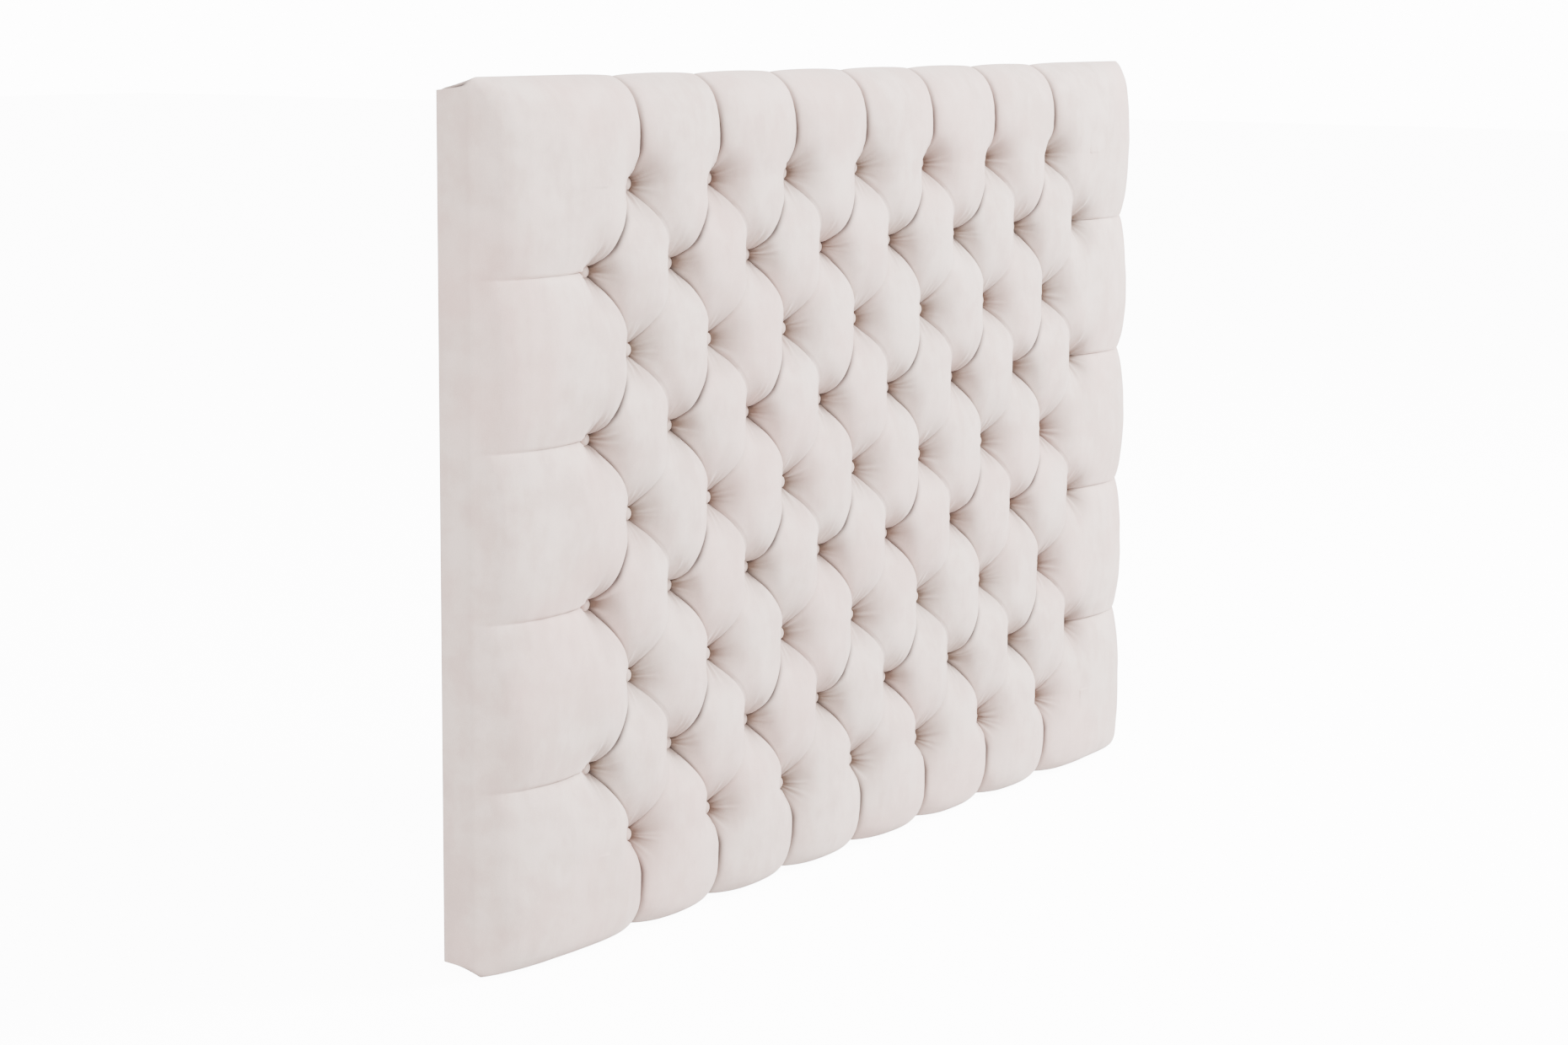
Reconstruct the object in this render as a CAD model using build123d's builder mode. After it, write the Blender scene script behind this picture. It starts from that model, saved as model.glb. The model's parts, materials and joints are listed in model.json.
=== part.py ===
from build123d import *
import os

# Deep-buttoned velvet headboard on a timber frame. Millimetres, X across, -Y the padded front, Z up.
# The origin is on the floor, midway across and midway through the depth.

# Overall size
headboard_width = 1800.0
headboard_height = 1200.0
headboard_depth = 120.0
edge_depth = 54.0
side_draw = 16.0
top_draw = 15.0
bottom_draw = 18.0
floor_flat = 0.5

# Tufting
button_spacing = 195.0
row_spacing = 114.0
middle_row_height = 595.0
odd_row_buttons = 7
row_count = 9
button_plane_depth = 73.0
pleat_rise = 28.0
margin_rise = 37.0
margin_dip = 9.0
least_crown = 0.4
side_strip = 3.0
tuft_radius = 11.5

# Buttons and what holds them
button_radius = 10.5
button_rise = 8.5
button_wall = 1.4
button_back_radius = 8.6
button_back_thickness = 1.2
eye_radius = 2.2
eye_wire = 0.55
shank_length = 1.4
twine_radius = 0.8
twine_hole_radius = 3.6
knot_radius = 2.6
washer_radius = 9.5
washer_thickness = 2.5
washer_hole_radius = 1.6

# Soft layers
velvet_thickness = 2.0
velvet_margin = 45.0
foam_thickness = 20.0
filling_wrap = 30.0

# Timber and board
timber_depth = 36.0
rail_width = 70.0
upright_width = 60.0
inner_upright_place = 243.75
board_thickness = 9.0
corner_block_size = 90.0
corner_block_depth = 30.0

# Fasteners
screw_radius = 2.2
screw_head_radius = 4.4
screw_head_height = 2.6
frame_screw_length = 120.0
frame_screw_spread = 30.0
board_screw_length = 34.0
board_screw_pitch = 290.0
staple_gauge = 0.7
staple_width = 10.0
staple_leg = 9.0
staple_pitch = 92.0
velvet_staple_inset = 34.0
lining_staple_inset = 16.0

# Back lining
lining_thickness = 0.5
lining_inset = 9.0

# Bolts of the bed frame
bolt_spacing = 1260.0
bolt_rise = 150.0
low_bolt_height = 260.0
bolt_radius = 4.0
insert_radius = 6.0
insert_length = 30.0
lining_bolt_hole_radius = 9.0

# Floor glides
glide_radius = 14.0
glide_place = 760.0
glide_inner_place = 250.0
glide_screw_length = 30.0

# Clearances
fit = 0.3
screw_fit = 0.1
staple_fit = 0.05
overrun = 20.0

# Shares of a band's height at which its profile is set, and how full the roll is at each share
band_shares = (0.25, 0.5, 0.75)
crown_power = 3.3
edge_shares = (0.3, 0.62, 0.84, 0.96, 1.0)
edge_crown_shares = (0.96, 0.83, 0.64, 0.44, 0.3)
edge_pleat_shares = (0.64, 0.7, 0.56, 0.38, 0.25)
edge_margin_shares = (0.85, 0.77, 0.6, 0.42, 0.28)
margin_crest_share = 0.42
roll_place_share = 0.16
roll_rise_share = 0.66
shoulder_place_share = 0.55
shoulder_rise_share = 0.72
tuft_close_share = 0.6

# Places worked out from the sizes
back_y = headboard_depth / 2
button_plane_y = back_y - button_plane_depth
edge_y = back_y - edge_depth
button_seat_y = button_plane_y - least_crown - fit
crest_rise = headboard_depth - button_plane_depth
edge_drop = button_plane_depth - edge_depth
lining_back_y = back_y - staple_gauge
velvet_back_y = lining_back_y - lining_thickness
timber_back_y = velvet_back_y - velvet_thickness
timber_front_y = timber_back_y - timber_depth
board_front_y = timber_front_y - board_thickness
foam_front_y = board_front_y - foam_thickness
timber_y = (timber_back_y + timber_front_y) / 2
side_slack = side_draw + velvet_thickness + fit
frame_width = headboard_width - 2 * side_slack
frame_bottom = bottom_draw + velvet_thickness + fit
frame_top = headboard_height - top_draw - velvet_thickness - fit
frame_height = frame_top - frame_bottom
frame_z = (frame_top + frame_bottom) / 2
upright_length = frame_height - 2 * rail_width
middle_row = (row_count - 1) / 2
first_row_height = middle_row_height + middle_row * row_spacing
last_row_height = middle_row_height - middle_row * row_spacing
bolt_place = bolt_spacing / 2


def row_places(row):
    """Places of the buttons across one row; the first row is the top one, with an odd count."""
    count = odd_row_buttons + row % 2
    return [(column - (count - 1) / 2) * button_spacing for column in range(count)]


def row_height(row):
    return middle_row_height + (middle_row - row) * row_spacing


odd_places = row_places(0)
even_places = row_places(1)
button_points = [(x, row_height(row)) for row in range(row_count) for x in row_places(row)]


def padded_outline(height, tuft_share, close_share, down_crown, up_crown, pleat, margin, inset, rear_y):
    """One level section of the padding: the flat back, the drawn-in sides and the row of crowns.

    down_crown is the rise of the pillows that hang under the odd rows' buttons, up_crown that of
    the pillows between them, pleat that of the folds, and margin that of the side margins.
    """
    half = headboard_width / 2 - inset
    rear_half = half - side_draw * (rear_y - edge_y) / (velvet_back_y - edge_y)
    reach = tuft_radius * (1 - tuft_close_share * close_share)

    def level(rise):
        return button_plane_y + inset - rise

    folds = []
    for column in range(odd_row_buttons):
        start = odd_places[column]
        folds.append(start - reach + (even_places[column] - start + 2 * reach) * tuft_share)
        folds.append(start + reach + (even_places[column + 1] - start - 2 * reach) * tuft_share)
    side_fold = folds[0] - side_strip - (2 * tuft_radius - side_strip) * tuft_share
    crest_x = -half + margin_crest_share * (side_fold + half)
    roll_x = -half + roll_place_share * (crest_x + half)
    roll_y = level(-edge_drop + (margin + edge_drop) * roll_rise_share)
    shoulder_x = crest_x + (side_fold - crest_x) * shoulder_place_share
    shoulder_y = level(pleat + (margin - pleat) * shoulder_rise_share)
    with BuildSketch(Plane.XY.offset(height)) as outline:
        with BuildLine():
            Line((rear_half, rear_y), (-rear_half, rear_y))
            Line((-rear_half, rear_y), (-half, level(-edge_drop)))
            ThreePointArc((-half, level(-edge_drop)), (roll_x, roll_y), (crest_x, level(margin)))
            ThreePointArc((crest_x, level(margin)), (shoulder_x, shoulder_y), (side_fold, level(pleat)))
            Line((side_fold, level(pleat)), (folds[0], level(pleat)))
            for index in range(len(folds) - 1):
                left = folds[index]
                right = folds[index + 1]
                crown = up_crown if index % 2 else down_crown
                ThreePointArc((left, level(pleat)), ((left + right) / 2, level(crown)), (right, level(pleat)))
            Line((folds[-1], level(pleat)), (-side_fold, level(pleat)))
            ThreePointArc((-side_fold, level(pleat)), (-shoulder_x, shoulder_y), (-crest_x, level(margin)))
            ThreePointArc((-crest_x, level(margin)), (-roll_x, roll_y), (half, level(-edge_drop)))
            Line((half, level(-edge_drop)), (rear_half, rear_y))
        make_face()
    return outline.sketch


def band(row, inset, rear_y):
    """The padding between one button row and the next, flat where the buttons sit."""
    flat_share = tuft_radius / row_spacing
    open_share = 1 - 2 * flat_share
    outlines = []
    for share in (0, flat_share) + tuple(flat_share + open_share * place for place in band_shares) + (1 - flat_share, 1):
        tuft_share = share if row % 2 == 0 else 1 - share
        down_share = min(1, max(0, (tuft_share - flat_share) / (1 - flat_share)))
        up_share = min(1, max(0, (1 - tuft_share - flat_share) / (1 - flat_share)))
        open_place = min(1, max(0, (tuft_share - flat_share) / open_share))
        down_crown = least_crown + (crest_rise - least_crown) * (1 - (1 - down_share) ** crown_power)
        up_crown = least_crown + (crest_rise - least_crown) * (1 - (1 - up_share) ** crown_power)
        pleat = pleat_rise * 4 * open_place * (1 - open_place)
        margin = margin_rise - margin_dip * tuft_share
        outlines.append(padded_outline(row_height(row) - row_spacing * share, tuft_share, 0,
                                       down_crown, up_crown, pleat, margin, inset, rear_y))
    return loft(outlines, ruled=True, mode=Mode.PRIVATE)


def margin_band(upper, inset, rear_y):
    """The padding between the outer button row and the top or bottom edge, where it rolls over."""
    start = first_row_height if upper else last_row_height
    reach = headboard_height - start - inset if upper else inset - floor_flat - start
    flat_share = tuft_radius / abs(reach)
    full = crest_rise + edge_drop
    outlines = [padded_outline(start, 0, 0, least_crown, crest_rise, 0, margin_rise, inset, rear_y),
                padded_outline(start + reach * flat_share, 0, 0, least_crown, crest_rise, 0, margin_rise,
                               inset, rear_y)]
    for index, share in enumerate(edge_shares):
        crown = full * edge_crown_shares[index] - edge_drop
        pleat = full * edge_pleat_shares[index] - edge_drop
        margin = full * edge_margin_shares[index] - edge_drop
        outlines.append(padded_outline(start + reach * share, 0, share, pleat + least_crown,
                                       crown + least_crown, pleat, margin, inset, rear_y))
    return loft(outlines, ruled=True, mode=Mode.PRIVATE)


def draw_in(upper, inset):
    """The wedge that draws the back outline in from the widest line at the top or the bottom."""
    draw = top_draw if upper else -bottom_draw
    edge = headboard_height - inset if upper else inset - floor_flat
    rear_y = velvet_back_y + overrun
    slope = draw / (velvet_back_y - edge_y)
    clear = overrun if upper else -overrun
    with BuildPart() as wedge:
        with BuildSketch(Plane.YZ):
            with BuildLine():
                Polyline((edge_y, edge), (rear_y, edge - slope * (rear_y - edge_y)), (rear_y, edge + clear),
                         (edge_y, edge + clear), close=True)
            make_face()
        extrude(amount=headboard_width, both=True)
    return wedge.part


def at_buttons(tool):
    """A copy of a tool at each button."""
    return [Pos(x, 0, z) * tool for x, z in button_points]


def padded_form(inset, rear_y):
    """The whole padding, from a rear plane to its tufted face, drawn in by an inset all round."""
    with BuildPart() as form:
        bands = [band(row, inset, rear_y) for row in range(row_count - 1)]
        bands.append(margin_band(True, inset, rear_y))
        bands.append(margin_band(False, inset, rear_y))
        add(bands)
        add([draw_in(True, inset), draw_in(False, inset)], mode=Mode.SUBTRACT)
    return form.part


def slab(width, height, y_front, y_back, middle_z):
    """A flat block between two depths."""
    with BuildPart() as block:
        with BuildSketch(Plane.XZ.offset(-y_back)):
            with Locations((0, middle_z)):
                Rectangle(width, height)
        extrude(amount=y_back - y_front)
    return block.part


def rod(radius, y_front, y_back):
    """A round rod along the depth."""
    with BuildPart() as bar:
        with BuildSketch(Plane.XZ.offset(-y_back)):
            Circle(radius)
        extrude(amount=y_back - y_front)
    return bar.part


def post(radius, bottom, top):
    """A round post along the height, at the middle of the timber."""
    with BuildPart() as bar:
        with BuildSketch(Plane.XY.offset(bottom)):
            with Locations((0, timber_y)):
                Circle(radius)
        extrude(amount=top - bottom)
    return bar.part


def frame_edge_points(inset, pitch):
    """Places round the back of the frame, each with the turn of a staple that lies along the edge."""
    half_width = frame_width / 2 - inset
    half_height = frame_height / 2 - inset
    points = []
    across = int(2 * half_width // pitch)
    upward = int(2 * half_height // pitch)
    for index in range(across):
        x = (index - (across - 1) / 2) * pitch
        points.append((x, frame_z + half_height, 0))
        points.append((x, frame_z - half_height, 0))
    for index in range(upward):
        z = frame_z + (index - (upward - 1) / 2) * pitch
        points.append((half_width, z, 90))
        points.append((-half_width, z, 90))
    return points


def staple_form(crown_y, gap):
    """One staple across the depth, with its crown's outer face at the given depth."""
    half = staple_width / 2
    inner = half - staple_gauge
    with BuildPart() as form:
        with BuildSketch(Plane.XY):
            with BuildLine():
                Polyline((-half - gap, crown_y + gap), (half + gap, crown_y + gap),
                         (half + gap, crown_y - staple_leg - gap), (inner - gap, crown_y - staple_leg - gap),
                         (inner - gap, crown_y - staple_gauge - gap), (gap - inner, crown_y - staple_gauge - gap),
                         (gap - inner, crown_y - staple_leg - gap), (-half - gap, crown_y - staple_leg - gap),
                         close=True)
            make_face()
        extrude(amount=staple_gauge / 2 + gap, both=True)
    return form.part


def staples(points, crown_y, gap):
    """A staple at each place, turned along the edge that it holds."""
    form = staple_form(crown_y, gap)
    return [Pos(x, 0, z) * (Rot(0, turn, 0) * form) for x, z, turn in points]


def screw_form(length, gap):
    """A countersunk screw that points along +Z, with its head's face at zero."""
    with BuildPart() as form:
        with BuildSketch(Plane.XZ):
            with BuildLine():
                Polyline((0, 0), (screw_head_radius + gap, 0), (screw_radius + gap, screw_head_height),
                         (screw_radius + gap, length + gap), (0, length + gap), close=True)
            make_face()
        revolve(axis=Axis.Z)
    return form.part


velvet_staple_points = frame_edge_points(velvet_staple_inset, staple_pitch)
lining_staple_points = frame_edge_points(lining_staple_inset, staple_pitch)
velvet_staple_y = velvet_back_y
lining_staple_y = lining_back_y + staple_gauge
velvet_slots = staples(velvet_staple_points, velvet_staple_y, staple_fit)
lining_slots = staples(lining_staple_points, lining_staple_y, staple_fit)

upright_places = {
    "left_stile": upright_width / 2 - frame_width / 2,
    "left_bolt_upright": -bolt_place,
    "left_inner_upright": -inner_upright_place,
    "right_inner_upright": inner_upright_place,
    "right_bolt_upright": bolt_place,
    "right_stile": frame_width / 2 - upright_width / 2,
}


def frame_screws(gap):
    """Two screws through each rail into each upright's end."""
    tool = screw_form(frame_screw_length, gap)
    placed = []
    for x in upright_places.values():
        for side in (-1, 1):
            screw_x = x + side * frame_screw_spread / 2
            placed.append(Pos(screw_x, timber_y, frame_bottom) * tool)
            placed.append(Pos(screw_x, timber_y, frame_top) * (Rot(180, 0, 0) * tool))
    return placed


def board_screws(gap):
    """Screws through the board into each upright, from the front."""
    tool = Rot(-90, 0, 0) * screw_form(board_screw_length, gap)
    placed = []
    count = int(upright_length // board_screw_pitch) + 1
    for x in upright_places.values():
        for index in range(count):
            z = frame_z + (index - (count - 1) / 2) * board_screw_pitch
            placed.append(Pos(x, board_front_y, z) * tool)
    return placed


def glide_screws(gap):
    """A screw up through each glide into the bottom rail."""
    tool = screw_form(glide_screw_length, gap)
    return [Pos(x, timber_y, frame_bottom - glide_height + screw_head_height) * tool for x in glide_places]


glide_height = frame_bottom
glide_places = (-glide_place, -glide_inner_place, glide_inner_place, glide_place)
bolt_points = [(x, low_bolt_height + rise) for x in (-bolt_place, bolt_place) for rise in (0, bolt_rise)]
frame_screw_holes = frame_screws(screw_fit)
board_screw_holes = board_screws(screw_fit)
glide_screw_holes = glide_screws(screw_fit)


def keep(part, name):
    """Label a piece and write it under its name."""
    part.label = name
    export_step(part, f"parts/{name}.step")


def write_rails():
    """The two long rails, which run the full width."""
    for name, z in (("top_rail", frame_top - rail_width / 2), ("bottom_rail", frame_bottom + rail_width / 2)):
        with BuildPart() as rail:
            add(slab(frame_width, rail_width, timber_front_y, timber_back_y, z))
            add(frame_screw_holes + glide_screw_holes, mode=Mode.SUBTRACT)
            add(velvet_slots + lining_slots, mode=Mode.SUBTRACT)
        keep(rail.part, name)


def write_uprights():
    """The stiles and uprights between the rails; the bolt uprights are drilled for the inserts."""
    for name, place in upright_places.items():
        with BuildPart() as upright:
            add(Pos(place, 0, 0) * slab(upright_width, upright_length, timber_front_y, timber_back_y, frame_z))
            add(frame_screw_holes + board_screw_holes, mode=Mode.SUBTRACT)
            if "stile" in name:
                add(velvet_slots + lining_slots, mode=Mode.SUBTRACT)
            if "bolt" in name:
                drill = rod(insert_radius + screw_fit, timber_front_y - overrun, timber_back_y + overrun)
                add([Pos(x, 0, z) * drill for x, z in bolt_points], mode=Mode.SUBTRACT)
        keep(upright.part, name)


def write_corner_blocks():
    """Four glued triangular blocks in the inner corners of the frame."""
    inner_x = frame_width / 2 - upright_width
    inner_z = upright_length / 2
    with BuildPart() as blocks:
        for side in (-1, 1):
            for level in (-1, 1):
                with BuildSketch(Plane.XZ.offset(-timber_front_y - corner_block_depth)):
                    with BuildLine():
                        corner_z = frame_z + level * inner_z
                        Polyline((side * inner_x, corner_z),
                                 (side * (inner_x - corner_block_size), corner_z),
                                 (side * inner_x, corner_z - level * corner_block_size), close=True)
                    make_face()
                extrude(amount=corner_block_depth)
    keep(blocks.part, "corner_blocks")


def write_board_and_foam():
    """The plywood that the buttons are tied to, and the foam on it, both pierced at each button."""
    hole = rod(twine_hole_radius, foam_front_y - overrun, timber_front_y + overrun)
    with BuildPart() as board:
        add(slab(frame_width, frame_height, board_front_y, timber_front_y, frame_z))
        add(at_buttons(hole), mode=Mode.SUBTRACT)
        add(board_screw_holes, mode=Mode.SUBTRACT)
    keep(board.part, "tufting_board")
    with BuildPart() as foam:
        add(slab(frame_width, frame_height, foam_front_y, board_front_y, frame_z))
        add(at_buttons(hole), mode=Mode.SUBTRACT)
    keep(foam.part, "foam_pad")


def write_cover_and_filling():
    """The velvet skin over the tufted form, and the fibre filling inside it."""
    glide_hole = post(glide_radius + fit, -overrun, frame_bottom)
    glide_cuts = [Pos(x, 0, 0) * glide_hole for x in glide_places]
    outer = padded_form(0, velvet_back_y)
    inner = padded_form(velvet_thickness, timber_back_y)
    floor = Pos(0, 0, -overrun / 2) * Box(2 * headboard_width, 2 * headboard_depth, overrun)
    hole = rod(twine_hole_radius, button_plane_y - overrun, foam_front_y + overrun)
    opening = slab(frame_width - 2 * velvet_margin, frame_height - 2 * velvet_margin,
                   timber_back_y - overrun, velvet_back_y + overrun, frame_z)
    with BuildPart() as velvet:
        add(outer)
        add(inner, mode=Mode.SUBTRACT)
        add(opening, mode=Mode.SUBTRACT)
        add(at_buttons(hole), mode=Mode.SUBTRACT)
        add(velvet_slots + lining_slots + glide_cuts + [floor], mode=Mode.SUBTRACT)
    keep(velvet.part, "velvet_cover")
    core = slab(frame_width, frame_height, foam_front_y, timber_back_y + overrun, frame_z)
    behind = slab(2 * headboard_width, 2 * headboard_height, edge_y + filling_wrap,
                  timber_back_y + overrun, frame_z)
    with BuildPart() as filling:
        add(inner)
        add([core, behind], mode=Mode.SUBTRACT)
        add(at_buttons(hole), mode=Mode.SUBTRACT)
        add(glide_cuts, mode=Mode.SUBTRACT)
    keep(filling.part, "fibre_filling")


def dome(radius, rise, rim):
    """A flat-backed dome with a straight rim, seated on the button plane."""
    seat_y = button_seat_y
    with BuildPart() as form:
        with BuildSketch(Plane.XY):
            with BuildLine():
                Polyline((radius, seat_y - rim), (radius, seat_y), (0, seat_y), (0, seat_y - rise))
                TangentArc((0, seat_y - rise), (radius, seat_y - rim), tangent=(1, 0))
            make_face()
        revolve(axis=Axis.Y)
    return form.part


def covered_button():
    """A domed shell, open behind, that the velvet is drawn over."""
    rim = button_rise / 3
    with BuildPart() as button:
        add(dome(button_radius, button_rise, rim))
        add(dome(button_radius - button_wall, button_rise - button_wall, rim), mode=Mode.SUBTRACT)
    return button.part


def button_back():
    """The disc that closes a button, with the wire eye that the twine goes through."""
    seat_y = button_seat_y
    eye_y = seat_y + shank_length + eye_radius
    with BuildPart() as disc:
        add(rod(button_back_radius, seat_y - button_back_thickness, seat_y))
        add(rod(2 * eye_wire, seat_y - button_back_thickness, seat_y + shank_length + eye_wire / 2))
        add(Pos(0, eye_y, 0) * (Rot(0, 90, 0) * Torus(eye_radius, eye_wire, mode=Mode.PRIVATE)))
    return disc.part


def twine_run():
    """The twine of one button: a loop through the eye, a run through the foam and board, and a knot."""
    eye_y = button_seat_y + shank_length + eye_radius
    loop_y = eye_y + eye_radius
    washer_y = timber_front_y + washer_thickness
    with BuildPart() as twine:
        add(Pos(0, loop_y, 0) * Torus(eye_radius, twine_radius, mode=Mode.PRIVATE))
        add(rod(twine_radius, loop_y + eye_radius, washer_y + knot_radius))
        add(Pos(0, washer_y + knot_radius, 0) * Sphere(knot_radius, mode=Mode.PRIVATE))
    return twine.part


def write_buttons():
    """The covered buttons row by row, then their backs, twine and washers."""
    button = covered_button()
    for row in range(row_count):
        with BuildPart() as buttons:
            add([Pos(x, 0, row_height(row)) * button for x in row_places(row)])
        keep(buttons.part, f"buttons_row_{row + 1}")
    with BuildPart() as backs:
        add(at_buttons(button_back()))
    keep(backs.part, "button_backs")
    with BuildPart() as twines:
        add(at_buttons(twine_run()))
    keep(twines.part, "tufting_twine")
    with BuildPart() as washer:
        add(rod(washer_radius, timber_front_y, timber_front_y + washer_thickness))
        add(rod(washer_hole_radius, timber_front_y - overrun, timber_back_y), mode=Mode.SUBTRACT)
    with BuildPart() as washers:
        add(at_buttons(washer.part))
    keep(washers.part, "twine_washers")


def write_lining():
    """The black dust cover over the back, with a clear hole at each bolt."""
    with BuildPart() as lining:
        add(slab(frame_width - 2 * lining_inset, frame_height - 2 * lining_inset,
                 velvet_back_y, lining_back_y, frame_z))
        hole = rod(lining_bolt_hole_radius, velvet_back_y - overrun, lining_back_y + overrun)
        add([Pos(x, 0, z) * hole for x, z in bolt_points], mode=Mode.SUBTRACT)
        add(lining_slots, mode=Mode.SUBTRACT)
    keep(lining.part, "dust_cover")


def write_fasteners():
    """Screws, staples and the threaded inserts, each kind as one group."""
    groups = {
        "frame_screws": frame_screws(0),
        "board_screws": board_screws(0),
        "glide_screws": glide_screws(0),
        "velvet_staples": staples(velvet_staple_points, velvet_staple_y, 0),
        "dust_cover_staples": staples(lining_staple_points, lining_staple_y, 0),
    }
    with BuildPart() as insert:
        add(rod(insert_radius, timber_back_y - insert_length, timber_back_y))
        add(rod(bolt_radius, timber_front_y - overrun, timber_back_y + overrun), mode=Mode.SUBTRACT)
    groups["bolt_inserts"] = [Pos(x, 0, z) * insert.part for x, z in bolt_points]
    for name, pieces in groups.items():
        with BuildPart() as group:
            add(pieces)
        keep(group.part, name)


def write_glides():
    """Four round glides under the bottom rail, which pass through the velvet."""
    foot = post(glide_radius, 0, glide_height)
    recess = post(screw_head_radius + fit, -overrun, screw_head_height)
    with BuildPart() as glides:
        add([Pos(x, 0, 0) * foot for x in glide_places])
        add([Pos(x, 0, 0) * recess for x in glide_places], mode=Mode.SUBTRACT)
        add(glide_screw_holes, mode=Mode.SUBTRACT)
    keep(glides.part, "floor_glides")


os.makedirs("parts", exist_ok=True)
write_cover_and_filling()
write_rails()
write_uprights()
write_corner_blocks()
write_board_and_foam()
write_buttons()
write_lining()
write_fasteners()
write_glides()
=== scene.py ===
"""The looks of a deep-buttoned velvet headboard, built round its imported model. Lengths are in metres."""
import json
import logging
import math
from dataclasses import dataclass
from enum import Enum

import bpy
import numpy as np
from mathutils import Matrix, Vector

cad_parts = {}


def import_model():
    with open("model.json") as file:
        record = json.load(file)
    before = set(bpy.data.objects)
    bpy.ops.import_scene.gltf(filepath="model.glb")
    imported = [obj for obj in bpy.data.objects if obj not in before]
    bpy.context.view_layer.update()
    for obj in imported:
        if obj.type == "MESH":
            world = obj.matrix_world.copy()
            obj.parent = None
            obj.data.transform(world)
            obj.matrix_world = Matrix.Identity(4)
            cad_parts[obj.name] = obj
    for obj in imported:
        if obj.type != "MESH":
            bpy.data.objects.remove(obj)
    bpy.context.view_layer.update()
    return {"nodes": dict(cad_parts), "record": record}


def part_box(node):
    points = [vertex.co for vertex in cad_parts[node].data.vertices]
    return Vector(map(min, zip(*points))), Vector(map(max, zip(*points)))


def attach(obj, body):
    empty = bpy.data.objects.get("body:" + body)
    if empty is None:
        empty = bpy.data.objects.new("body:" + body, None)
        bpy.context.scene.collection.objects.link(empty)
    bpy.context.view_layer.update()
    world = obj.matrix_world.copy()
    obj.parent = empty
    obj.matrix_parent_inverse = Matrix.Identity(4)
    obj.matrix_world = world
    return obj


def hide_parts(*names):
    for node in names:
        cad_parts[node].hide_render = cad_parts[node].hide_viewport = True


log = logging.getLogger("headboard")
MM = 0.001
BUMP_STRENGTH = 0.6
Colour = tuple[float, float, float]
Faces = list[tuple[int, ...]]
Masks = dict[str, np.ndarray]
Socket = bpy.types.NodeSocket
Tree = bpy.types.NodeTree


class Finish(Enum):
    """How a small metal or plastic piece is finished."""

    ZINC = "zinc"
    YELLOW_ZINC = "yellow_zinc"
    WIRE = "wire"
    NYLON = "nylon"


class NodeKit:
    """Adds nodes to one tree and joins them."""

    def __init__(self, tree: Tree) -> None:
        """Remember the tree that nodes are added to."""
        self.tree = tree

    def add(self, kind: str, **settings: object) -> bpy.types.Node:
        """Add a node.

        Args:
            kind: the node's type name.
            settings: attributes to set on the node.

        Returns:
            The new node.
        """
        node = self.tree.nodes.new(kind)
        for name, value in settings.items():
            setattr(node, name, value)
        return node

    def join(self, source: Socket, target: Socket) -> None:
        """Link one socket to another."""
        self.tree.links.new(source, target)

    def value(self, source: object, target: Socket) -> None:
        """Link a socket to a target, or set a plain value on it.

        Args:
            source: a socket, a number or a colour.
            target: the socket that takes it.
        """
        if isinstance(source, Socket):
            self.join(source, target)
        else:
            target.default_value = source

    def noise(self, scale: float, detail: float, stretch: tuple[float, float, float] = (1, 1, 1),
              roughness: float = 0.5) -> Socket:
        """Add noise in object space.

        Args:
            scale: how fine it is.
            detail: how many finer layers it has.
            stretch: its scale along each axis.
            roughness: how strong the finer layers are.

        Returns:
            The noise, from 0 to 1.
        """
        place = self.add("ShaderNodeTexCoord")
        mapping = self.add("ShaderNodeMapping")
        mapping.inputs["Scale"].default_value = stretch
        texture = self.add("ShaderNodeTexNoise")
        texture.inputs["Scale"].default_value = scale
        texture.inputs["Detail"].default_value = detail
        texture.inputs["Roughness"].default_value = roughness
        self.join(place.outputs["Object"], mapping.inputs["Vector"])
        self.join(mapping.outputs["Vector"], texture.inputs["Vector"])
        return texture.outputs["Fac"]

    def math(self, operation: str, first: object, second: object) -> Socket:
        """Combine two values.

        Args:
            operation: the name of the sum.
            first: a socket or a number.
            second: a socket or a number.

        Returns:
            The result.
        """
        node = self.add("ShaderNodeMath", operation=operation)
        self.value(first, node.inputs[0])
        self.value(second, node.inputs[1])
        return node.outputs[0]

    def spread(self, source: Socket, low: float, high: float, start: float = 0.0, end: float = 1.0) -> Socket:
        """Take a value smoothly from one range to another.

        Args:
            source: the value.
            low: where its range starts.
            high: where its range ends.
            start: what low becomes.
            end: what high becomes.

        Returns:
            The result.
        """
        node = self.add("ShaderNodeMapRange", interpolation_type="SMOOTHSTEP")
        self.join(source, node.inputs["Value"])
        for name, number in (("From Min", low), ("From Max", high), ("To Min", start), ("To Max", end)):
            node.inputs[name].default_value = number
        return node.outputs["Result"]

    def blend(self, factor: object, first: object, second: object, way: str = "MIX") -> Socket:
        """Mix two colours.

        Args:
            factor: the second colour's share.
            first: a socket or a colour.
            second: a socket or a colour.
            way: the way of mixing.

        Returns:
            The mixed colour.
        """
        node = self.add("ShaderNodeMix", data_type="RGBA", blend_type=way)
        for source, name in ((factor, "Factor"), (first, "A"), (second, "B")):
            self.value(source, node.inputs[name])
        return node.outputs["Result"]


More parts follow.
